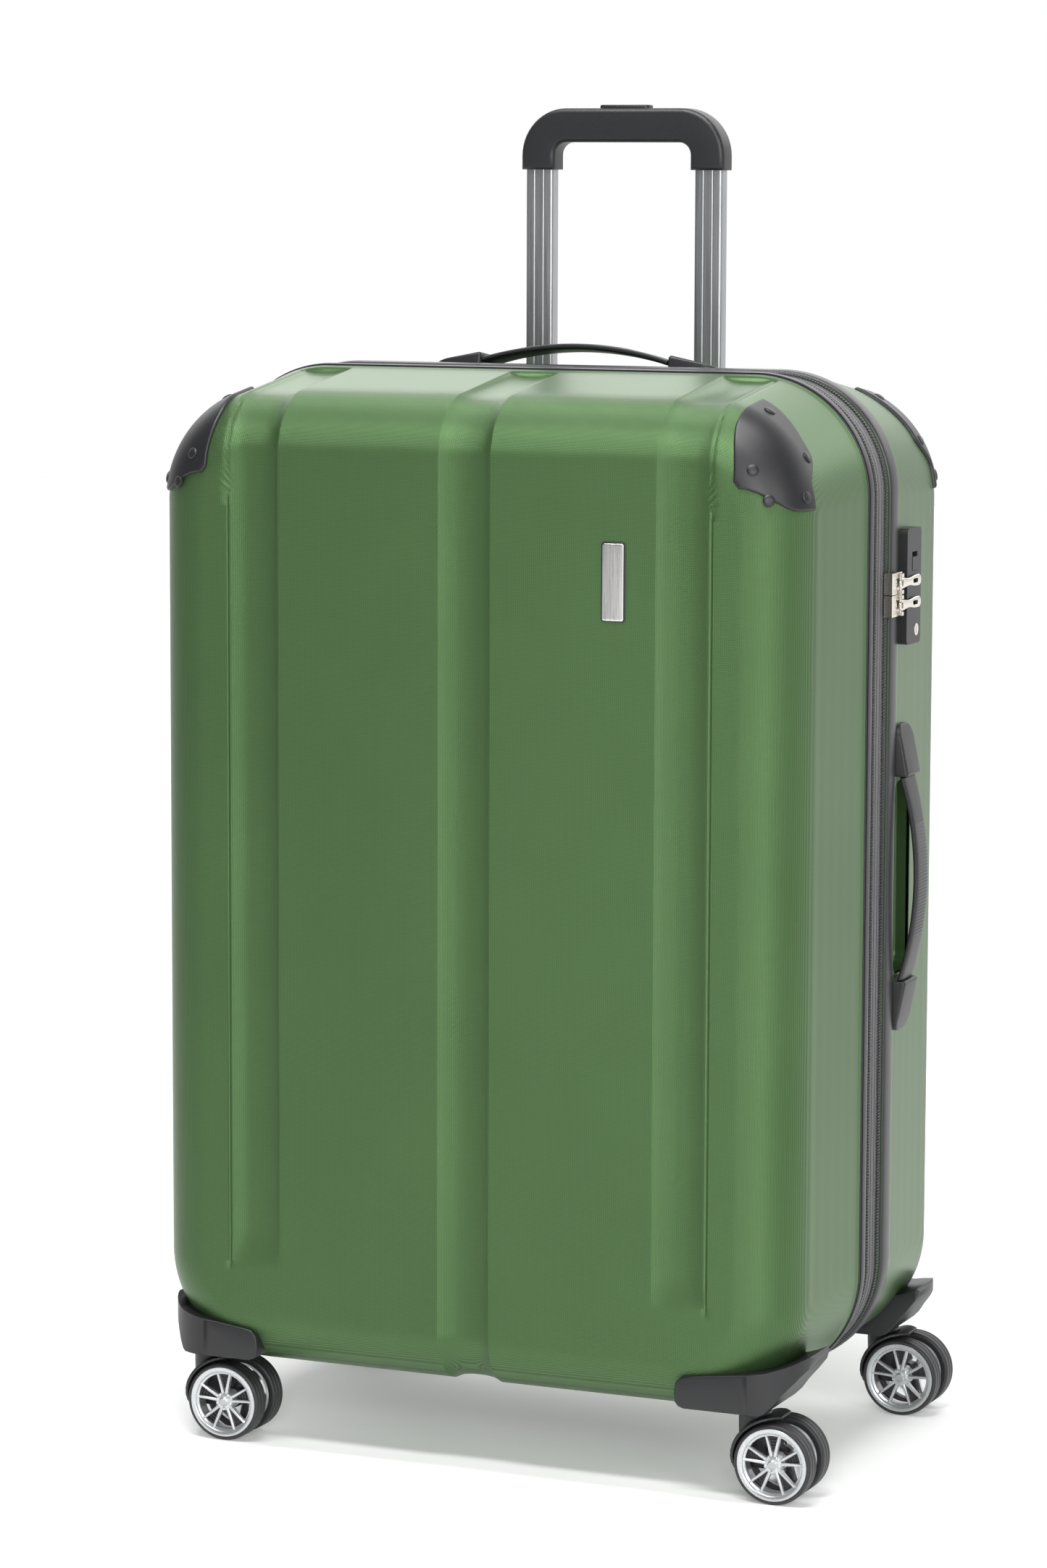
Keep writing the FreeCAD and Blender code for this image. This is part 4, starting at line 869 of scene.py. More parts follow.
TEETH_REACH = 1.9
low, high = case_box("main_zip_tape")
mesh_piece("main_zip_tape_back", band_ring(tape_section(low[1], high[1], (low[1] + 3.4, low[1] + 4.8))),
           "tape_cloth", "back_half", "main_zip_tape")
mesh_piece("main_zip_coil_back", coil_row(MAIN_ZIP, 1, TEETH_REACH), "coil_black", "back_half")
low, high = case_box("front_zip_tape")
mesh_piece("expansion_tape_front", band_ring(tape_section(low[1], high[1], (high[1] - 3.4,))),
           "tape_cloth", "front_half", "front_zip_tape")
mesh_piece("expansion_coil_front", coil_row(EXPANSION_ZIP, -1, TEETH_REACH), "coil_black", "front_half")
low, high = case_box("gusset_band")
mesh_piece("gusset_tape", band_ring(tape_section(low[1], high[1], (-10.4, -6.0, 0.0, 3.6))),
           "tape_cloth", "gusset_frame", "gusset_band")
mesh_piece("gusset_coil_front", coil_row(EXPANSION_ZIP, 1, TEETH_REACH), "coil_black", "gusset_frame")
mesh_piece("gusset_coil_back", coil_row(MAIN_ZIP, -1, TEETH_REACH), "coil_black", "gusset_frame")

# The fold of cloth that fills the expander: a V between the two sides of the expansion zip.
FOLD_DEEP = 19.0
FOLD_TOP = TAPE_OUT - 2.6
FOLD_THICK = 0.4
fold_front, fold_back = EXPANSION_ZIP - 0.5, EXPANSION_ZIP + 0.5
fold_section = [(fold_back + 3.0, FOLD_TOP), (fold_back, FOLD_TOP),
                (EXPANSION_ZIP + 0.12, FOLD_TOP - FOLD_DEEP), (EXPANSION_ZIP - 0.12, FOLD_TOP - FOLD_DEEP),
                (fold_front, FOLD_TOP), (fold_front - 3.0, FOLD_TOP),
                (fold_front - 3.0, FOLD_TOP - FOLD_THICK), (fold_front - FOLD_THICK, FOLD_TOP - FOLD_THICK),
                (EXPANSION_ZIP - 0.3, FOLD_TOP - FOLD_DEEP - FOLD_THICK),
                (EXPANSION_ZIP + 0.3, FOLD_TOP - FOLD_DEEP - FOLD_THICK),
                (fold_back + FOLD_THICK, FOLD_TOP - FOLD_THICK), (fold_back + 3.0, FOLD_TOP - FOLD_THICK)]
fold = mesh_piece("expander_fold", band_ring(fold_section), "lining_cloth", None)
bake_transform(fold)

# The cloth strip that hinges the halves, down the left side.
low, high = case_box("hinge_strip")
HINGE_FRONT = 0.4
HINGE_THICK = 0.9
strip_columns = [mix(HINGE_FRONT, high[1], step / 16) for step in range(17)]
strip_rows = [mix(low[2], high[2], step / 90) for step in range(91)]
strip_verts = []
for out in (-HALF - HINGE_THICK - 0.8, -HALF - 0.75):
    for z in strip_rows:
        for index, y in enumerate(strip_columns):
            rib = 0.14 * math.cos(math.pi * index) if out < -HALF - 1 else 0.0
            strip_verts.append((out - rib, y, z))
strip = mesh_piece("hinge_cloth", closed_layers(strip_verts, len(strip_rows), len(strip_columns)),
                   "tape_cloth", None, "hinge_strip")
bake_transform(strip)

# ---------------------------------------------------------------- corner guards and rivets

GUARD_THICK = 2.2
GUARD_SINK = 0.3
GUARD_LOW, GUARD_FACE_LOW = 669.0, 684.0
GUARD_INNER, GUARD_FACE_INNER = 189.0, 194.0
GUARD_REACH = 54.0
EDGE_WIDE = 1.8
FINE_EDGE = (0.0, 0.004, 0.012, 0.025, 0.045)
GUARD_SHARES = [*FINE_EDGE, *(mix(0.07, 0.93, step / 34) for step in range(35)),
                *(1 - share for share in reversed(FINE_EDGE))]


def guard_section(reach):
    """Depth, half width, top, corner radius and lean of the shell at a reach over its rounded edge."""
    if reach <= 0:
        depth = FACE - FACE_ROUND + reach
        half, _, top, radius = section(depth)
        return depth, half, top, radius, 0.0
    lean = math.degrees(reach / FACE_ROUND)
    depth, inset = rounding(lean)
    half, _, top, radius = section(depth, 0.0, inset)
    return depth, half, top, radius, lean


def guard_point(side, sign, climb, reach, out):
    """A place on a guard: climb is the angle up the case's corner, reach goes from the side to the face."""
    depth, half, top, radius, lean = guard_section(reach)
    c, s = math.cos(math.radians(lean)), math.sin(math.radians(lean))
    nx, nz = math.cos(math.radians(climb)), math.sin(math.radians(climb))
    arm = radius + c * out
    return Vector((sign * (half - radius + arm * nx), side * (depth + s * out), top - radius + arm * nz))


def climb_limits(reach):
    """The lowest and highest climb at a reach: level lower edge, upright inner edge."""
    _, half, top, radius, _ = guard_section(reach)
    face = ramp(20, GUARD_REACH, reach)
    low = (mix(GUARD_LOW, GUARD_FACE_LOW, face) - top + radius) / radius
    high = (mix(GUARD_INNER, GUARD_FACE_INNER, face) - half + radius) / radius
    return math.degrees(math.asin(low)), math.degrees(math.acos(high))


def guard_start(share):
    """How far back on the side a guard reaches, wider towards the top."""
    return 3.5 - 15.0 * ramp(0.18, 0.42, share) - 14.0 * ramp(0.42, 1.0, share)


def guard(side, sign):
    """A corner guard: a thin plate over the corner with rounded edges."""
    verts = []
    for top_layer in (True, False):
        for along in GUARD_SHARES:
            start = guard_start(along)
            for across in GUARD_SHARES:
                reach = mix(start, GUARD_REACH, across)
                low, high = climb_limits(reach)
                radius = guard_section(reach)[3]
                edge = min(min(across, 1 - across) * (GUARD_REACH - start),
                           min(along, 1 - along) * math.radians(high - low) * radius)
                rolled = 1 - math.sqrt(max(0.0, 1 - (1 - min(1.0, edge / EDGE_WIDE)) ** 2))
                out = GUARD_THICK * (1 - 0.75 * rolled) if top_layer else -GUARD_SINK
                verts.append(guard_point(side, sign, mix(low, high, along), reach, out))
    size = len(GUARD_SHARES)
    return closed_layers(verts, size, size)


RIVET = [(0, -1.0), (4.1, -1.0), (4.1, 0.25), (3.7, 0.7), (2.9, 1.05), (1.6, 1.3), (0, 1.38)]
RIVET_PLACES = ((16.0, 39.0), (12.0, 13.0), (30.0, -3.0), (60.0, -9.0), (39.0, 40.0))


def rivet(side, sign, climb, reach):
    base = guard_point(side, sign, climb, reach, GUARD_THICK)
    tip = guard_point(side, sign, climb, reach, GUARD_THICK + 1)
    turn = Vector((0, 0, 1)).rotation_difference(tip - base).to_matrix().to_4x4()
    return moved(lathe(RIVET, 24), Matrix.Translation(base) @ turn)


for half_name in ("front", "back"):
    side = SIDE[half_name]
    mesh_piece(f"{half_name}_guards", merge(guard(side, -1), guard(side, 1)), "dark_plastic",
               f"{half_name}_half", f"{half_name}_corner_guards", crease=48)
    heads = [rivet(side, sign, *place) for sign in (-1, 1) for place in RIVET_PLACES]
    mesh_piece(f"{half_name}_rivets", merge(*heads), "dark_plastic", f"{half_name}_half",
               f"{half_name}_guard_rivets")

# ---------------------------------------------------------------- casters

CORNERS = {"fl": (-1, -1), "fr": (1, -1), "bl": (-1, 1), "br": (1, 1)}
TYRE_R, RIM_R = 27.6, 22.4
WHEEL_HALF = 7.1
SPOKE_PAIRS = 5


def tyre_profile():
    return ([(RIM_R + 0.1, -6.0), (24.6, -6.9), (25.6, -WHEEL_HALF)] + arc(25.6, -5.1, 2.0, -90, 0, 6)
            + [(TYRE_R, -2.6), (27.3, -2.3), (TYRE_R, -2.0), (TYRE_R, 2.0), (27.3, 2.3), (TYRE_R, 2.6)]
            + arc(25.6, 5.1, 2.0, 0, 90, 6) + [(24.6, 6.9), (RIM_R + 0.1, 6.0)])


def spoke(angle, lean, near, far):
    """A tapered spoke between two places, its top crowned."""
    verts = []
    for share in (0, 0.15, 0.35, 0.6, 0.85, 1.0):
        r = mix(near, far, share)
        off = lean * mix(1.1, 5.0, share ** 1.2)
        wide = mix(1.25, 0.85, share)
        high = mix(4.6, 6.0, share)
        low = mix(0.6, 3.2, share)
        for across, level in ((-wide, low), (-wide, high - 0.5), (-wide * 0.5, high), (wide * 0.5, high),
                              (wide, high - 0.5), (wide, low)):
            verts.append((r, off + across, level))
    bm = bm_from(verts, grid_faces(6, 6, closed=True) + [tuple(range(6)), tuple(30 + i for i in range(6))])
    bmesh.ops.recalc_face_normals(bm, faces=bm.faces)
    return moved(bm, Matrix.Rotation(angle, 4, "Z"))


def insert(angle):
    """The ribbed dark web between the two spokes of a pair."""
    parts = []
    outline = [(8.5, -1.0), (19.6, -3.9), (19.6, 3.9), (8.5, 1.0)]
    parts.append(prism(outline, "z", -1.0, 2.4, 0.3, 2))
    for step in range(5):
        r = 10 + step * 2.1
        wide = mix(1.0, 3.4, step / 4)
        parts.append(block((r, -wide, 2.2), (r + 0.8, wide, 3.3), 0.2))
    return moved(merge(*parts), Matrix.Rotation(angle, 4, "Z"))


RIM_RING = [(21.4, -6.2), (22.3, -6.2), (22.3, 5.2), (24.4, 6.6), (24.9, 7.0), (24.7, 7.25), (23.6, 7.2),
            (22.2, 6.9), (21.6, 6.4), (21.2, 5.6), (19.9, 4.9), (19.6, 4.2), (20.3, 3.0), (20.6, -6.2)]
HUB = [(3.05, -6.9), (6.6, -6.9), (6.9, -6.5), (6.9, 3.0), (6.4, 4.3), (5.2, 4.9), (3.05, 5.0)]
STUD_CIRCLE = 5.2


def rim_metal():
    parts = [lathe(RIM_RING, 96), lathe(HUB, 48)]
    parts.append(lathe([(0, 4.6), (3.4, 4.6), (3.4, 5.6), (2.9, 6.1), (1.2, 6.3), (0, 6.3)], 32))
    for pair in range(SPOKE_PAIRS):
        angle = math.radians(90 + 360 / SPOKE_PAIRS * pair)
        parts += [spoke(angle, lean, 4.0, 20.6) for lean in (-1, 1)]
        stud_angle = angle + math.pi / SPOKE_PAIRS
        stud = lathe([(0, 3.4), (1.15, 3.4), (1.15, 5.3), (0.8, 5.7), (0, 5.75)], 12)
        spot = (STUD_CIRCLE * math.cos(stud_angle), STUD_CIRCLE * math.sin(stud_angle), 0)
        parts.append(moved(stud, Matrix.Translation(spot)))
    return merge(*parts)


def wheel_place(x, y, out):
    """Puts a wheel made about z into its place, its outer side towards out."""
    facing = Matrix.Rotation(math.radians(90 if out < 0 else -90), 4, "X")
    return Matrix.Translation((x, y, TYRE_R)) @ facing


def fork(x, y):
    """Neck, collar, web and hood fused into one moulding, with its axle."""
    axle_x = x + 19.3
    neck_top = 60.1
    neck = [(0, 30), (10.4, 30), (11.2, 40), (11.5, 52), (11.5, 57.5), (11.0, neck_top), (0, neck_top)]
    parts = [moved(lathe(neck, 40), Matrix.Translation((x, y, 0)))]
    parts.append(block((x - 9, y - 4.6, 20), (axle_x, y + 4.6, 45), 1.0))
    boss = lathe([(0, -4.8), (7.6, -4.8), (7.6, 4.8), (0, 4.8)], 32, "y")
    parts.append(moved(boss, Matrix.Translation((axle_x, y, TYRE_R))))
    hood = []
    for radius in (28.9, 31.4):
        hood.append([(radius * math.cos(math.radians(a)), radius * math.sin(math.radians(a)))
                     for a in range(84, 203, 6)])
    verts = []
    steps = len(hood[0])
    for step in range(steps):
        wide = 20.0 * (1 - 0.55 * abs(2 * step / (steps - 1) - 1) ** 3)
        for across in (-wide, wide):
            for radius in (0, 1):
                px, pz = hood[radius][step]
                verts.append((axle_x + px, y + across, TYRE_R + pz))
    order = []
    for step in range(steps):
        b = step * 4
        order.append((b, b + 1, b + 3, b + 2))
    faces = []
    for step in range(steps - 1):
        for k in range(4):
            a, d = order[step][k], order[step][(k + 1) % 4]
            e, f = order[step + 1][k], order[step + 1][(k + 1) % 4]
            faces.append((a, d, f, e))
    faces += [order[0], tuple(reversed(order[-1]))]
    shield = bm_from(verts, faces)
    bmesh.ops.recalc_face_normals(shield, faces=shield.faces)
    parts.append(shield)
    whole = melted(merge(*parts), 0.7, 3)
    keep_out = lathe([(0, -40), (28.1, -40), (28.1, -5.2), (0, -5.2)], 64, "y")
    keep_out_2 = lathe([(0, 5.2), (28.1, 5.2), (28.1, 40), (0, 40)], 64, "y")
    for tool in (keep_out, keep_out_2):
        whole = without(whole, moved(tool, Matrix.Translation((axle_x, y, TYRE_R))))
    axle = lathe([(0, -20.2), (2.5, -20.2), (2.9, -19.8), (2.9, 19.8), (2.5, 20.2), (0, 20.2)], 24, "y")
    stem = lathe([(0, 59), (6, 59), (6, 68), (0, 68)], 32)
    return (merge(whole, moved(stem, Matrix.Translation((x, y, 0)))),
            moved(axle, Matrix.Translation((axle_x, y, TYRE_R))))


HOUSING_UNDER = 61.5
HOUSING_OUT = 245.6
HOUSING_PROUD = 1.9
STEM_SIDE, HOUSING_LEFT = 217.0, 0.62
HOUSING_SECTION = [(157.5, 66), (160, 62.8), (164, HOUSING_UNDER), (217, HOUSING_UNDER), (221, 63),
                   (226, 68), (231, 75),
                   (238, 83), (243.5, 90), (HOUSING_OUT, 97), (HOUSING_OUT - 1.5, 98.5), (236, 95), (222, 91),
                   (200, 88), (170, 84.5), (162, 83), (158, 79), (157, 72)]


def plug(half_name):
    """The room inside a shell, just under its outer surface."""
    verts, faces, count = shell_surface(half_name, -0.8, 0.0)
    solid = bm_from(verts, [*faces, tuple(range(count))])
    bmesh.ops.remove_doubles(solid, verts=solid.verts, dist=0.02)
    bmesh.ops.triangulate(solid, faces=[f for f in solid.faces if len(f.verts) > 4])
    bmesh.ops.recalc_face_normals(solid, faces=solid.faces)
    return solid


def housing(corner, sx, sy, stem_x, stem_y):
    """The moulding round a lower corner, close to the shell, that carries a caster's stem."""
    low, high = case_box(f"caster_housing_{corner}")
    inner_y = min(abs(low[1]), abs(high[1]))
    # The left housings stay nearer the stem, where the shell's corner turns in.
    spread = 1.0 if sx > 0 else HOUSING_LEFT
    outline = [(sx * (x if x < STEM_SIDE else mix(STEM_SIDE, x, spread)), z) for x, z in HOUSING_SECTION]
    outline = outline if sx > 0 else outline[::-1]
    face = FACE + HOUSING_PROUD
    y0, y1 = sorted((sy * inner_y, sy * face))
    x0, x1 = sorted((sx * 150.0, sx * mix(STEM_SIDE, HOUSING_OUT, spread)))
    body = prism(outline, "y", y0, y1, 1.2 if sy > 0 else 0.8, 3, low_bevel=1.2 if sy < 0 else 0.8)
    outer = FACE_ROUND + HOUSING_PROUD
    corners = [3.0, 3.0, 3.0, 3.0]
    corners[{(1, 1): 0, (-1, 1): 1, (-1, -1): 2, (1, -1): 3}[sx, sy]] = outer
    plan = prism(rounded_outline(x0, x1, y0 - 0.01, y1 + 0.01, corners, 14), "z", 50, 110)
    body = without(common(body, plan), plug("front" if sy < 0 else "back"))
    bore = moved(lathe([(0, 55), (6.4, 55), (6.4, 70), (0, 70)], 32), Matrix.Translation((stem_x, stem_y, 0)))
    body = without(body, bore)
    half = "front_half" if sy < 0 else "back_half"
    mesh_piece(f"housing_{corner}", body, "dark_plastic", half, f"caster_housing_{corner}",
               crease=40)


metal_mesh = rim_metal()
insert_mesh = merge(*(insert(math.radians(90 + 360 / SPOKE_PAIRS * pair)) for pair in range(SPOKE_PAIRS)))
tyre_mesh = lathe(tyre_profile(), 96)
for corner, (sx, sy) in CORNERS.items():
    low, high = case_box(f"caster_fork_{corner}")
    tyre_low, tyre_high = case_box(f"tyre_{corner}_front")
    axle_x = (tyre_low[0] + tyre_high[0]) / 2
    x, y = axle_x - 19.3, (low[1] + high[1]) / 2
    housing(corner, sx, sy, x, y)
    moulding, axle = fork(x, y)
    mesh_piece(f"fork_{corner}", moulding, "dark_plastic", f"caster_{corner}",
               f"caster_fork_{corner}", crease=60)
    mesh_piece(f"axle_{corner}", axle, "zinc_steel", f"caster_{corner}")
    for place, out in (("front", -1), ("back", 1)):
        body = f"wheel_{corner}_{place}"
        low, high = case_box(f"tyre_{corner}_{place}")
        where = wheel_place(axle_x, (low[1] + high[1]) / 2, out)
        mesh_piece(f"wheel_tyre_{corner}_{place}", moved(tyre_mesh.copy(), where), "tyre_black", body,
                   f"tyre_{corner}_{place}", crease=50)
        mesh_piece(f"wheel_centre_{corner}_{place}", moved(metal_mesh.copy(), where), "wheel_silver", body,
                   f"rim_{corner}_{place}")
        mesh_piece(f"wheel_inserts_{corner}_{place}", moved(insert_mesh.copy(), where), "hub_plastic", body)

# ---------------------------------------------------------------- trolley

TUBE_LOW, TUBE_HIGH = case_box("trolley_tubes")
TUBE_Y = (TUBE_LOW[1] + TUBE_HIGH[1]) / 2
TUBE_WIDE = 21.0
TUBE_DEEP = TUBE_HIGH[1] - TUBE_LOW[1]
TUBE_X = TUBE_HIGH[0] - TUBE_WIDE / 2
GRIP_LOW, GRIP_HIGH = case_box("trolley_grip")


def tube_outline(sign):
    """A tube's section: rounded corners and a shallow groove down the front and the back."""
    cx, w, d = sign * TUBE_X, TUBE_WIDE / 2, TUBE_DEEP / 2
    corner, groove, lip, dip = 2.0, 3.5, 0.6, 0.45
    x1, x0, y1, y0 = cx + w - corner, cx - w + corner, TUBE_Y + d - corner, TUBE_Y - d + corner

    def grooves(level, way):
        return [(cx - way * (off + u), level - way * v) for off in (-groove, groove)
                for u, v in ((-lip, 0), (0, dip), (lip, 0))]

    return (arc(x1, y1, corner, 0, 90, 5) + grooves(TUBE_Y + d, 1) + arc(x0, y1, corner, 90, 180, 5)
            + arc(x0, y0, corner, 180, 270, 5) + grooves(TUBE_Y - d, -1) + arc(x1, y0, corner, 270, 360, 5))


for name, sign in (("left", -1), ("right", 1)):
    mesh_piece(f"trolley_tube_{name}", prism(tube_outline(sign), "z", TUBE_LOW[2], GRIP_LOW[2] + 8),
               "tube_grey", "trolley", "trolley_tubes" if sign > 0 else ())

grip_x = GRIP_HIGH[0]
GRIP_UNDER = 910.6
GRIP_CORNER, GAP_CORNER, LEG_IN = 34.0, 9.0, 13.0
gap_x = TUBE_X - LEG_IN
grip_outline = ([(grip_x, GRIP_LOW[2])]
                + arc(grip_x - GRIP_CORNER, GRIP_HIGH[2] - GRIP_CORNER, GRIP_CORNER, 0, 90, 14)
                + arc(-grip_x + GRIP_CORNER, GRIP_HIGH[2] - GRIP_CORNER, GRIP_CORNER, 90, 180, 14)
                + [(-grip_x, GRIP_LOW[2]), (-gap_x, GRIP_LOW[2])]
                + arc(-gap_x + GAP_CORNER, GRIP_UNDER - GAP_CORNER, GAP_CORNER, 180, 90, 8)
                + arc(gap_x - GAP_CORNER, GRIP_UNDER - GAP_CORNER, GAP_CORNER, 90, 0, 8)
                + [(gap_x, GRIP_LOW[2])])
handle = prism(grip_outline, "y", GRIP_LOW[1], GRIP_HIGH[1], 3.4, 5)
BUTTON_LOW, BUTTON_HIGH = case_box("trolley_button")
handle = without(handle, block((BUTTON_LOW[0] - 0.5, BUTTON_LOW[1] - 0.5, BUTTON_LOW[2] - 4),
                               (BUTTON_HIGH[0] + 0.5, BUTTON_HIGH[1] + 0.5, GRIP_HIGH[2] + 5), 0.2, 3.0))
mesh_piece("trolley_handle", handle, "dark_plastic", "trolley", "trolley_grip", crease=40)
mesh_piece("release_button", block(BUTTON_LOW, BUTTON_HIGH, 1.2, 3.0, steps=4), "dark_plastic", "grip_button",
           "trolley_button")

# The bezel round the cup's opening follows the slope of the shell's top.
BEZEL_SIDES, BEZEL_FRONT, BEZEL_BACK, BEZEL_IN = 3.4, 2.8, 2.2, 2.6
bezel_outer = rounded_outline(CUP_LOW[0] - BEZEL_SIDES, CUP_HIGH[0] + BEZEL_SIDES, CUP_LOW[1] - BEZEL_FRONT,
                              CUP_HIGH[1] + BEZEL_BACK, 5.0, 6)
bezel_inner = rounded_outline(CUP_LOW[0] + BEZEL_IN, CUP_HIGH[0] - BEZEL_IN, CUP_LOW[1] + BEZEL_IN,
                              CUP_HIGH[1] - BEZEL_IN, 2.0, 6)


def cup_top(y):
    """Height of the shell's top over the cup, where it rounds over to the back face."""
    if y <= FACE - FACE_ROUND:
        return section(y)[2]
    lean = math.degrees(math.asin(min(1.0, (y - (FACE - FACE_ROUND)) / FACE_ROUND)))
    return section(y, 0.0, rounding(lean)[1])[2]


bezel_verts = []
for outline, lift in ((bezel_outer, -1.0), (bezel_outer, 0.9), (inset_outline(bezel_outer, 0.9), 1.7),
                      (inset_outline(bezel_inner, -0.7), 1.7), (bezel_inner, 1.0), (bezel_inner, -4.0)):
    bezel_verts += [(u, v, cup_top(v) + lift) for u, v in outline]
count = len(bezel_outer)
bezel_faces = grid_faces(6, count, closed=True)
bezel_faces += [(5 * count + i, 5 * count + (i + 1) % count, (i + 1) % count, i) for i in range(count)]
mesh_piece("trolley_bezel", bm_from(bezel_verts, bezel_faces), "dark_plastic", "back_half")

# ---------------------------------------------------------------- carry handles

GRIP_HALF = 71.2
BAND_WIDE, BAND_THICK, BAND_RISE, BAND_FOOT = 30.0, 4.5, 10.5, 5.0
CAP_END, CAP_HIGH, CAP_LOW = 108.0, 10.4, 2.7
HANDLE_Y = 47.0
SLOPE_RUN = FACE - STRAIGHT_END


def handle_frame(kind):
    """Along, across and up of a carry handle, from its middle on the shell's surface."""
    taper = SIDE_TAPER if kind == "side" else TOP_TAPER
    slope = math.atan(taper / SLOPE_RUN)
    part = (HANDLE_Y - STRAIGHT_END) / SLOPE_RUN
    c, s = math.cos(slope), math.sin(slope)
    if kind == "side":
        origin = Vector((HALF - taper * part, HANDLE_Y, HANDLE_MID))
        columns = ((0, 0, 1), (-s, c, 0), (c, s, 0))
    else:
        origin = Vector((0, HANDLE_Y, TOP - taper * part))
        columns = ((1, 0, 0), (0, c, -s), (0, s, c))
    turn = Matrix(columns).transposed().to_4x4()
    return Matrix.Translation(origin) @ turn


def band():
    """The flexing grip: an arched strap, swelling in the middle, with fine ribs across its top."""
    verts = []
    rows = 121
    for row in range(rows):
        along = mix(-GRIP_HALF + 0.3, GRIP_HALF - 0.3, row / (rows - 1))
        share = abs(along) / GRIP_HALF
        level = BAND_FOOT + BAND_RISE * (1 - share ** 2)
        rib = 0.28 * (1 if row % 2 else -1) * ramp(0, 1, (0.62 - share) / 0.1)
        wide = BAND_WIDE / 2 - 1.6 * (1 - ramp(0.55, 1.0, share))
        thick = BAND_THICK / 2
        ring = []
        for a in range(0, 360, 15):
            c, s = math.cos(math.radians(a)), math.sin(math.radians(a))
            across = math.copysign(abs(c) ** 0.45, c) * wide
            up = math.copysign(abs(s) ** 0.7, s) * thick + (rib * abs(s) if s > 0.3 else 0.0)
            ring.append((along, across, level + up))
        verts += ring
    count = len(verts) // rows
    faces = grid_faces(rows, count, closed=True)
    faces += [tuple(range(count)), tuple((rows - 1) * count + i for i in range(count))]
    return bm_from(verts, faces)


def cap(sign):
    """A moulded end cap: high at the seam with the grip and low at its far end."""
    low, high = sorted((sign * (GRIP_HALF + 0.5), sign * CAP_END))
    corner = [11.0, 2.0, 2.0, 11.0] if sign > 0 else [2.0, 11.0, 11.0, 2.0]
    shape = prism(rounded_outline(low, high, -BAND_WIDE / 2 - 1, BAND_WIDE / 2 + 1, corner, 8), "z", -1.5,
                  CAP_HIGH, 2.4, 5, low_bevel=0)
    for vert in shape.verts:
        share = (abs(vert.co.x) - GRIP_HALF) / (CAP_END - GRIP_HALF)
        if vert.co.z > 0:
            vert.co.z *= mix(1.0, CAP_LOW / CAP_HIGH, min(1.0, max(0.0, share)) ** 1.25)
    return shape


for kind in ("side", "top"):
    place = handle_frame(kind)
    mesh_piece(f"{kind}_handle_band", moved(band(), place), "dark_plastic", f"{kind}_handle",
               f"{kind}_handle_grip")
    mesh_piece(f"{kind}_handle_ends", moved(merge(cap(-1), cap(1)), place), "dark_plastic", "back_half",
               f"{kind}_handle_caps", crease=40)

# ---------------------------------------------------------------- zip pulls and nameplate


def pull_outline(low, high):
    """A waisted tongue, rounded at its free end."""
    y0, y1, z0, z1 = low[1], high[1], low[2], high[2]
    mid, half = (z0 + z1) / 2, (z1 - z0) / 2
    rim = []
    for step in range(25):
        share = step / 24
        waist = half * (0.98 - 0.30 * math.sin(math.pi * min(1, share * 1.15)) ** 2)
        rim.append((mix(y0 + 2.4, y1 - half, share), waist))
    upper = [(y, mid + w) for y, w in rim]
    lower = [(y, mid - w) for y, w in reversed(rim)]
    last = rim[-1][1]
    tip = [(y1 - half + half * math.sin(math.radians(a)), mid + last * math.cos(math.radians(a)))
           for a in range(15, 180, 15)]
    root = [(y0 + 2.4 - 2.4 * math.sin(math.radians(a)), mid - half * 0.98 * math.cos(math.radians(a)))
            for a in range(15, 180, 15)]
    outline = upper + tip + lower + root
    return outline[::-1]


for name in ("upper", "lower"):
    low, high = case_box(f"{name}_zip_pull")
    mid = (low[2] + high[2]) / 2
    tongue = prism(pull_outline(low, high), "x", low[0] + 1.1, high[0] - 0.5, 0.85, 3)
    window = prism(rounded_outline(high[1] - 17, high[1] - 7, mid - 1.5, mid + 1.5, 1.4, 4), "x", low[0] - 1,
                   high[0] + 1)
    eye = prism(rounded_outline(low[1] + 1.0, low[1] + 4.6, mid - 2.1, mid + 2.1, 1.2, 4), "x", low[0] - 1,
                high[0] + 1)
    mesh_piece(f"{name}_pull_tongue", without(without(tongue, window), eye), "zip_nickel", f"{name}_pull",
               f"{name}_zip_pull", crease=40)

low, high = case_box("nameplate")
BORDER = 1.0
outer = rounded_outline(low[0], high[0], low[2], high[2], 2.0, 6)
inner = rounded_outline(low[0] + BORDER, high[0] - BORDER, low[2] + BORDER, high[2] - BORDER, 1.4, 6)
mesh_piece("nameplate_border", prism(outer, "y", low[1] + 0.5, high[1], 0.3, 2), "hub_plastic", "front_half")
mesh_piece("nameplate_face", prism(inner, "y", low[1], high[1] - 0.3, 0.35, 3), "badge_silver", "front_half",
           "nameplate")

# ---------------------------------------------------------------- lining and straps

LINING_IN = -(WALL + CHANNEL_DEEP + 1.3)
LINING_THICK = 0.7
WRINKLE = 1.3


def back_rooms(x, y, z):
    """Keeps the back lining clear of the finger wells, the lock, the trolley cup and its tubes."""
    y = min(y, 119.0)
    across_y = ramp(24, 31, y) * (1 - ramp(74, 84, y))
    side_room = across_y * ramp(318, 330, z) * (1 - ramp(475, 487, z))
    lock_room = across_y * ramp(552, 564, z) * (1 - ramp(648, 660, z))
    x = min(x, mix(400, 221.0, side_room) if side_room > 0 else x)
    x = min(x, mix(400, 217.0, lock_room) if lock_room > 0 else x)
    top_room = across_y * (1 - ramp(70, 82, abs(x)))
    z = min(z, mix(900, 727.0, top_room) if top_room > 0 else z)
    cup_room = ramp(96, 104, y) * (1 - ramp(92, 104, abs(x)))
    z = min(z, mix(900, 690.0, cup_room) if cup_room > 0 else z)
    return x, y, z


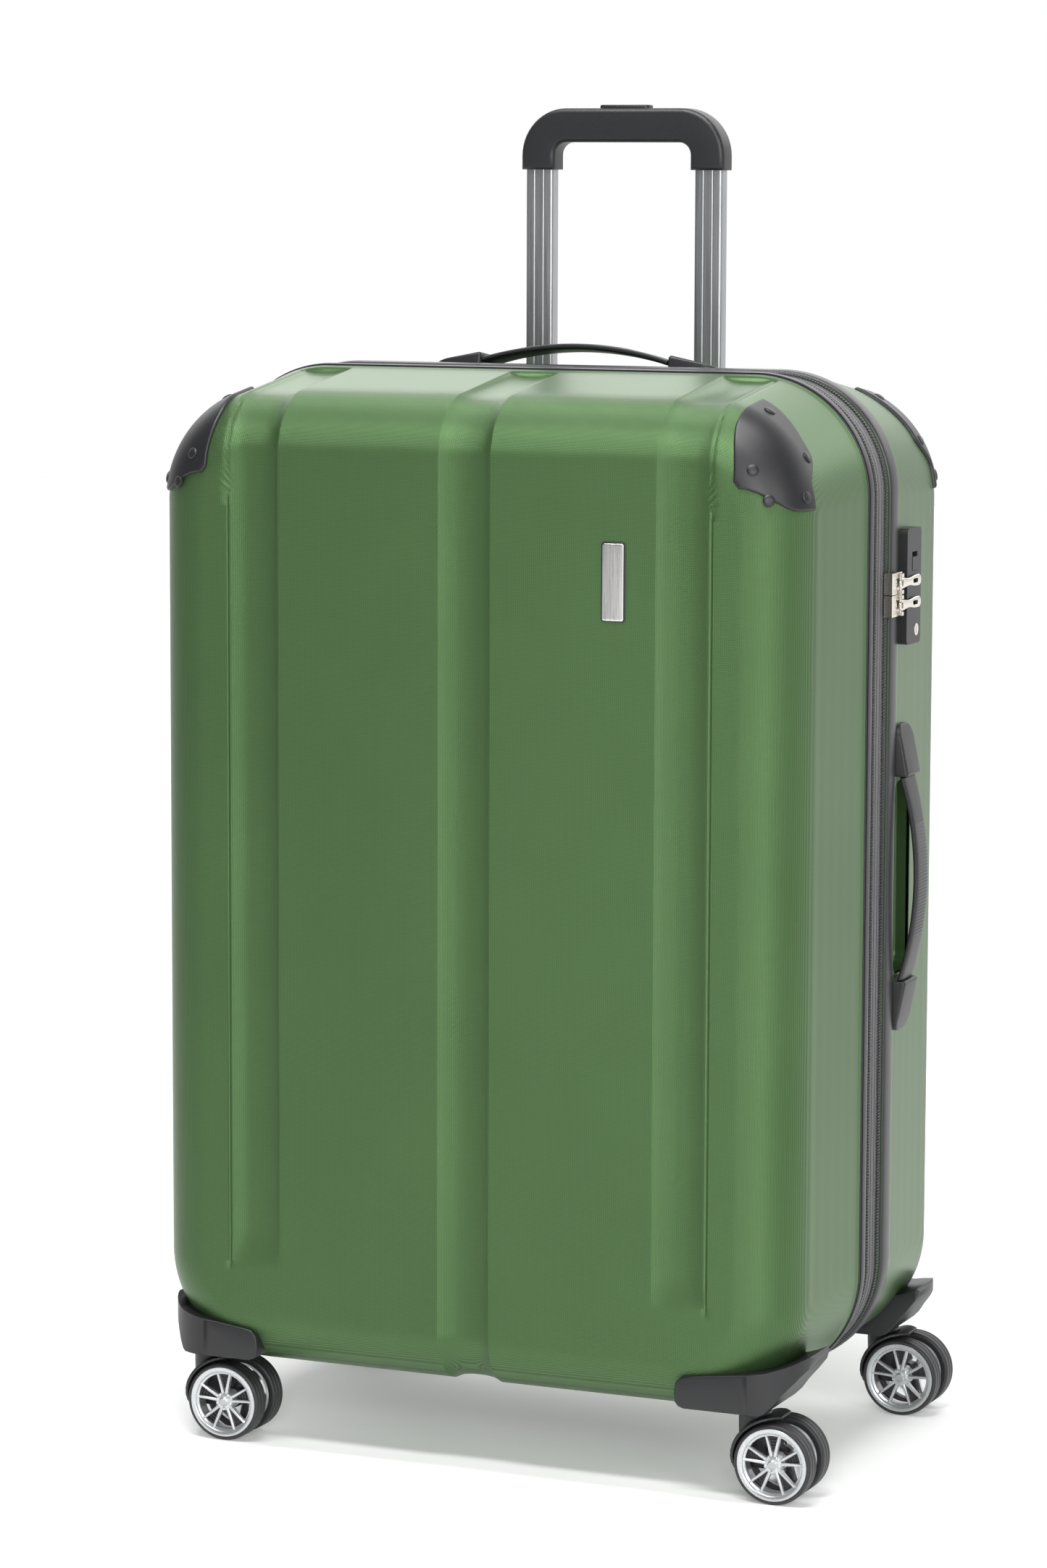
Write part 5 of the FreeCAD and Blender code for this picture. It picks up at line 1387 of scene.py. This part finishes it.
def lining(half_name):
    """A thin cloth tray inside a half, softly wrinkled."""
    verts = []
    for layer in (0.0, LINING_THICK):
        points, faces, count = shell_surface(half_name, LINING_IN - layer, 0.0)
        for point in points:
            x, y, z = point
            ease = WRINKLE * ramp(20, 60, abs(y))
            soft = 0.5 + 0.5 * noise_at(Vector((x, y, z)) * 0.018) + 0.2 * noise_at(Vector((x, y, z)) * 0.06)
            pull_in = 1 - ease * soft / 250
            x, z = x * pull_in, (z - 400) * pull_in + 400
            if half_name == "back":
                x, y, z = back_rooms(x, y, z)
                y = min(y, 119.0 - layer)
            verts.append((x, y, z))
    total = len(verts) // 2
    faces = faces + [tuple(total + i for i in reversed(face)) for face in faces]
    faces += [(i, (i + 1) % count, total + (i + 1) % count, total + i) for i in range(count)]
    return bm_from(verts, faces)


def strap(level, angle, lift):
    """A webbing strap across a half; lift raises it where it passes over the other one."""
    length, wide, thick = 560.0, 30.0, 1.4
    rows, columns = 141, 13
    turn = Matrix.Rotation(math.radians(angle), 3, "Y")
    verts = []
    for out in (thick, 0.0):
        for row in range(rows):
            along = mix(-length / 2, length / 2, row / (rows - 1))
            rise = lift * (1 - ramp(14, 46, abs(along)))
            for column in range(columns):
                across = mix(-wide / 2, wide / 2, column / (columns - 1))
                ridge = 0.12 if column % 2 and out else 0.0
                spot = turn @ Vector((along, 0, across))
                verts.append((spot.x, level + rise + out + ridge, spot.z + 404.0))
    return closed_layers(verts, rows, columns)


for half_name, level, lift in (("back", 18.0, 1.9), ("front", -25.6, 1.9)):
    body = f"{half_name}_half"
    cloth = mesh_piece(f"{half_name}_lining_cloth", lining(half_name), "lining_cloth", body,
                       f"{half_name}_lining", crease=60)
    for name, angle, rise in (("low", 42, 0.0), ("high", -42, lift)):
        stands_for = f"{half_name}_straps" if name == "low" else ()
        web = mesh_piece(f"{half_name}_strap_{name}", strap(level, angle, rise), "strap_web", body,
                         stands_for)
    buckle = block((-32, level + 3.4, 384), (32, level + 7.8, 424), 1.4, 6.0, "y", 4)
    buckle = without(buckle, block((-20, level + 6.6, 394), (20, level + 9, 414), 0.2, 4.0, "y", 2))
    mesh_piece(f"{half_name}_buckle", buckle, "dark_plastic", body, crease=40)

# The bracket that holds the trolley's outer tubes to the back wall, clear of the middle channel.
low, high = case_box("trolley_foot")
FOOT_TOP, FOOT_BACK, TAB_GAP = 112.0, 137.3, 24.0
bracket = [block(low, (high[0], FOOT_BACK, FOOT_TOP), 0.8, 3.0)]
for x0, x1 in ((low[0], -TAB_GAP), (TAB_GAP, high[0])):
    bracket.append(block((x0, FOOT_BACK - 1, low[2]), (x1, high[1], high[2]), 0.6, 2.0, "y"))
mesh_piece("trolley_bracket", merge(*bracket), "dark_plastic", "back_half", "trolley_foot")

# ---------------------------------------------------------------- finishes of the kept CAD pieces

KEPT = {
    "dark_plastic": ["trolley_cup", "lock_housing", "lock_button"],
    "tube_grey": ["trolley_outer_tubes"],
    "zinc_steel": ["release_rods", "latch_bar"],
    "zip_nickel": ["upper_zip_slider", "lower_zip_slider", "key_cylinder"],
}
for finish, names in KEPT.items():
    for name in names:
        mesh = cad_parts[name].data
        mesh.materials.clear()
        mesh.materials.append(materials[finish])

# ---------------------------------------------------------------- stage, light and camera


def area_light(name, place, target, size, power, color=(1, 1, 1)):
    light = bpy.data.lights.new(name, "AREA")
    light.shape = "RECTANGLE"
    light.size, light.size_y = size
    light.energy = power
    light.color = color
    obj = bpy.data.objects.new(name, light)
    obj.location = place
    obj.rotation_euler = (Vector(target) - Vector(place)).to_track_quat("-Z", "Y").to_euler()
    bpy.context.scene.collection.objects.link(obj)


floor_mesh = bpy.data.meshes.new("floor")
floor_mesh.from_pydata([(-9, -9, 0), (9, -9, 0), (9, 9, 0), (-9, 9, 0)], [], [(0, 1, 2, 3)])
floor = bpy.data.objects.new("floor", floor_mesh)
new_material("floor_white", (0.9, 0.9, 0.9), 0.8, Emission_Color=(1, 1, 1, 1), Emission_Strength=0.18)
floor_mesh.materials.append(materials["floor_white"])
bpy.context.scene.collection.objects.link(floor)

# The studio's surroundings: white behind the case, dimmer in front of it and overhead.
BACKDROP, ROOM, CEILING = 1.0, 0.16, 0.30
world = bpy.data.worlds.new("studio")
world.use_nodes = True
nodes, links = world.node_tree.nodes, world.node_tree.links
direction = nodes.new("ShaderNodeTexCoord")
parts = nodes.new("ShaderNodeSeparateXYZ")
links.new(direction.outputs["Generated"], parts.inputs["Vector"])


def falloff(source, low, high, start, end):
    span = nodes.new("ShaderNodeMapRange")
    span.interpolation_type = "SMOOTHSTEP"
    for socket, value in zip(("From Min", "From Max", "To Min", "To Max"), (low, high, start, end)):
        span.inputs[socket].default_value = value
    links.new(source, span.inputs["Value"])
    return span.outputs["Result"]


strength = nodes.new("ShaderNodeMath")
strength.operation = "MULTIPLY"
links.new(falloff(parts.outputs["Y"], 0.1, 0.6, ROOM, BACKDROP), strength.inputs[0])
links.new(falloff(parts.outputs["Z"], 0.25, 0.7, 1.0, CEILING), strength.inputs[1])
background = nodes["Background"]
background.inputs["Color"].default_value = (1, 1, 1, 1)
links.new(strength.outputs[0], background.inputs["Strength"])
bpy.context.scene.world = world
bpy.context.scene.view_settings.view_transform = "Standard"
CASE_MIDDLE = (0, 0, 0.42)
area_light("overhead", (0.0, -0.2, 2.3), (0, -0.1, 0.72), (1.6, 0.25), 24)
area_light("overhead_front", (0.0, -0.95, 2.3), (0, -0.2, 0.72), (1.5, 0.3), 32)
area_light("fill_right", (2.6, -1.9, 1.3), CASE_MIDDLE, (0.8, 1.8), 24)
area_light("fill_front", (1.6, -3.6, 1.5), CASE_MIDDLE, (1.4, 1.6), 74)
area_light("floor_wash", (0.0, 6.3, 3.4), (0, 6.3, 0), (15, 8.5), 560)

CAMERA_PLACE = (1.3383, -3.155, 0.898)
CAMERA_YAW, CAMERA_PITCH, CAMERA_ROLL = 23.46, -7.28, 0.19
camera_data = bpy.data.cameras.new("camera")
camera_data.lens = 112.19
camera_data.sensor_fit = "VERTICAL"
camera_data.sensor_height = 36.0
camera = bpy.data.objects.new("camera", camera_data)
turn = (Matrix.Rotation(math.radians(CAMERA_YAW), 4, "Z")
        @ Matrix.Rotation(math.radians(90 + CAMERA_PITCH), 4, "X")
        @ Matrix.Rotation(math.radians(CAMERA_ROLL), 4, "Z"))
camera.matrix_world = Matrix.Translation(CAMERA_PLACE) @ turn
bpy.context.scene.collection.objects.link(camera)
bpy.context.scene.camera = camera
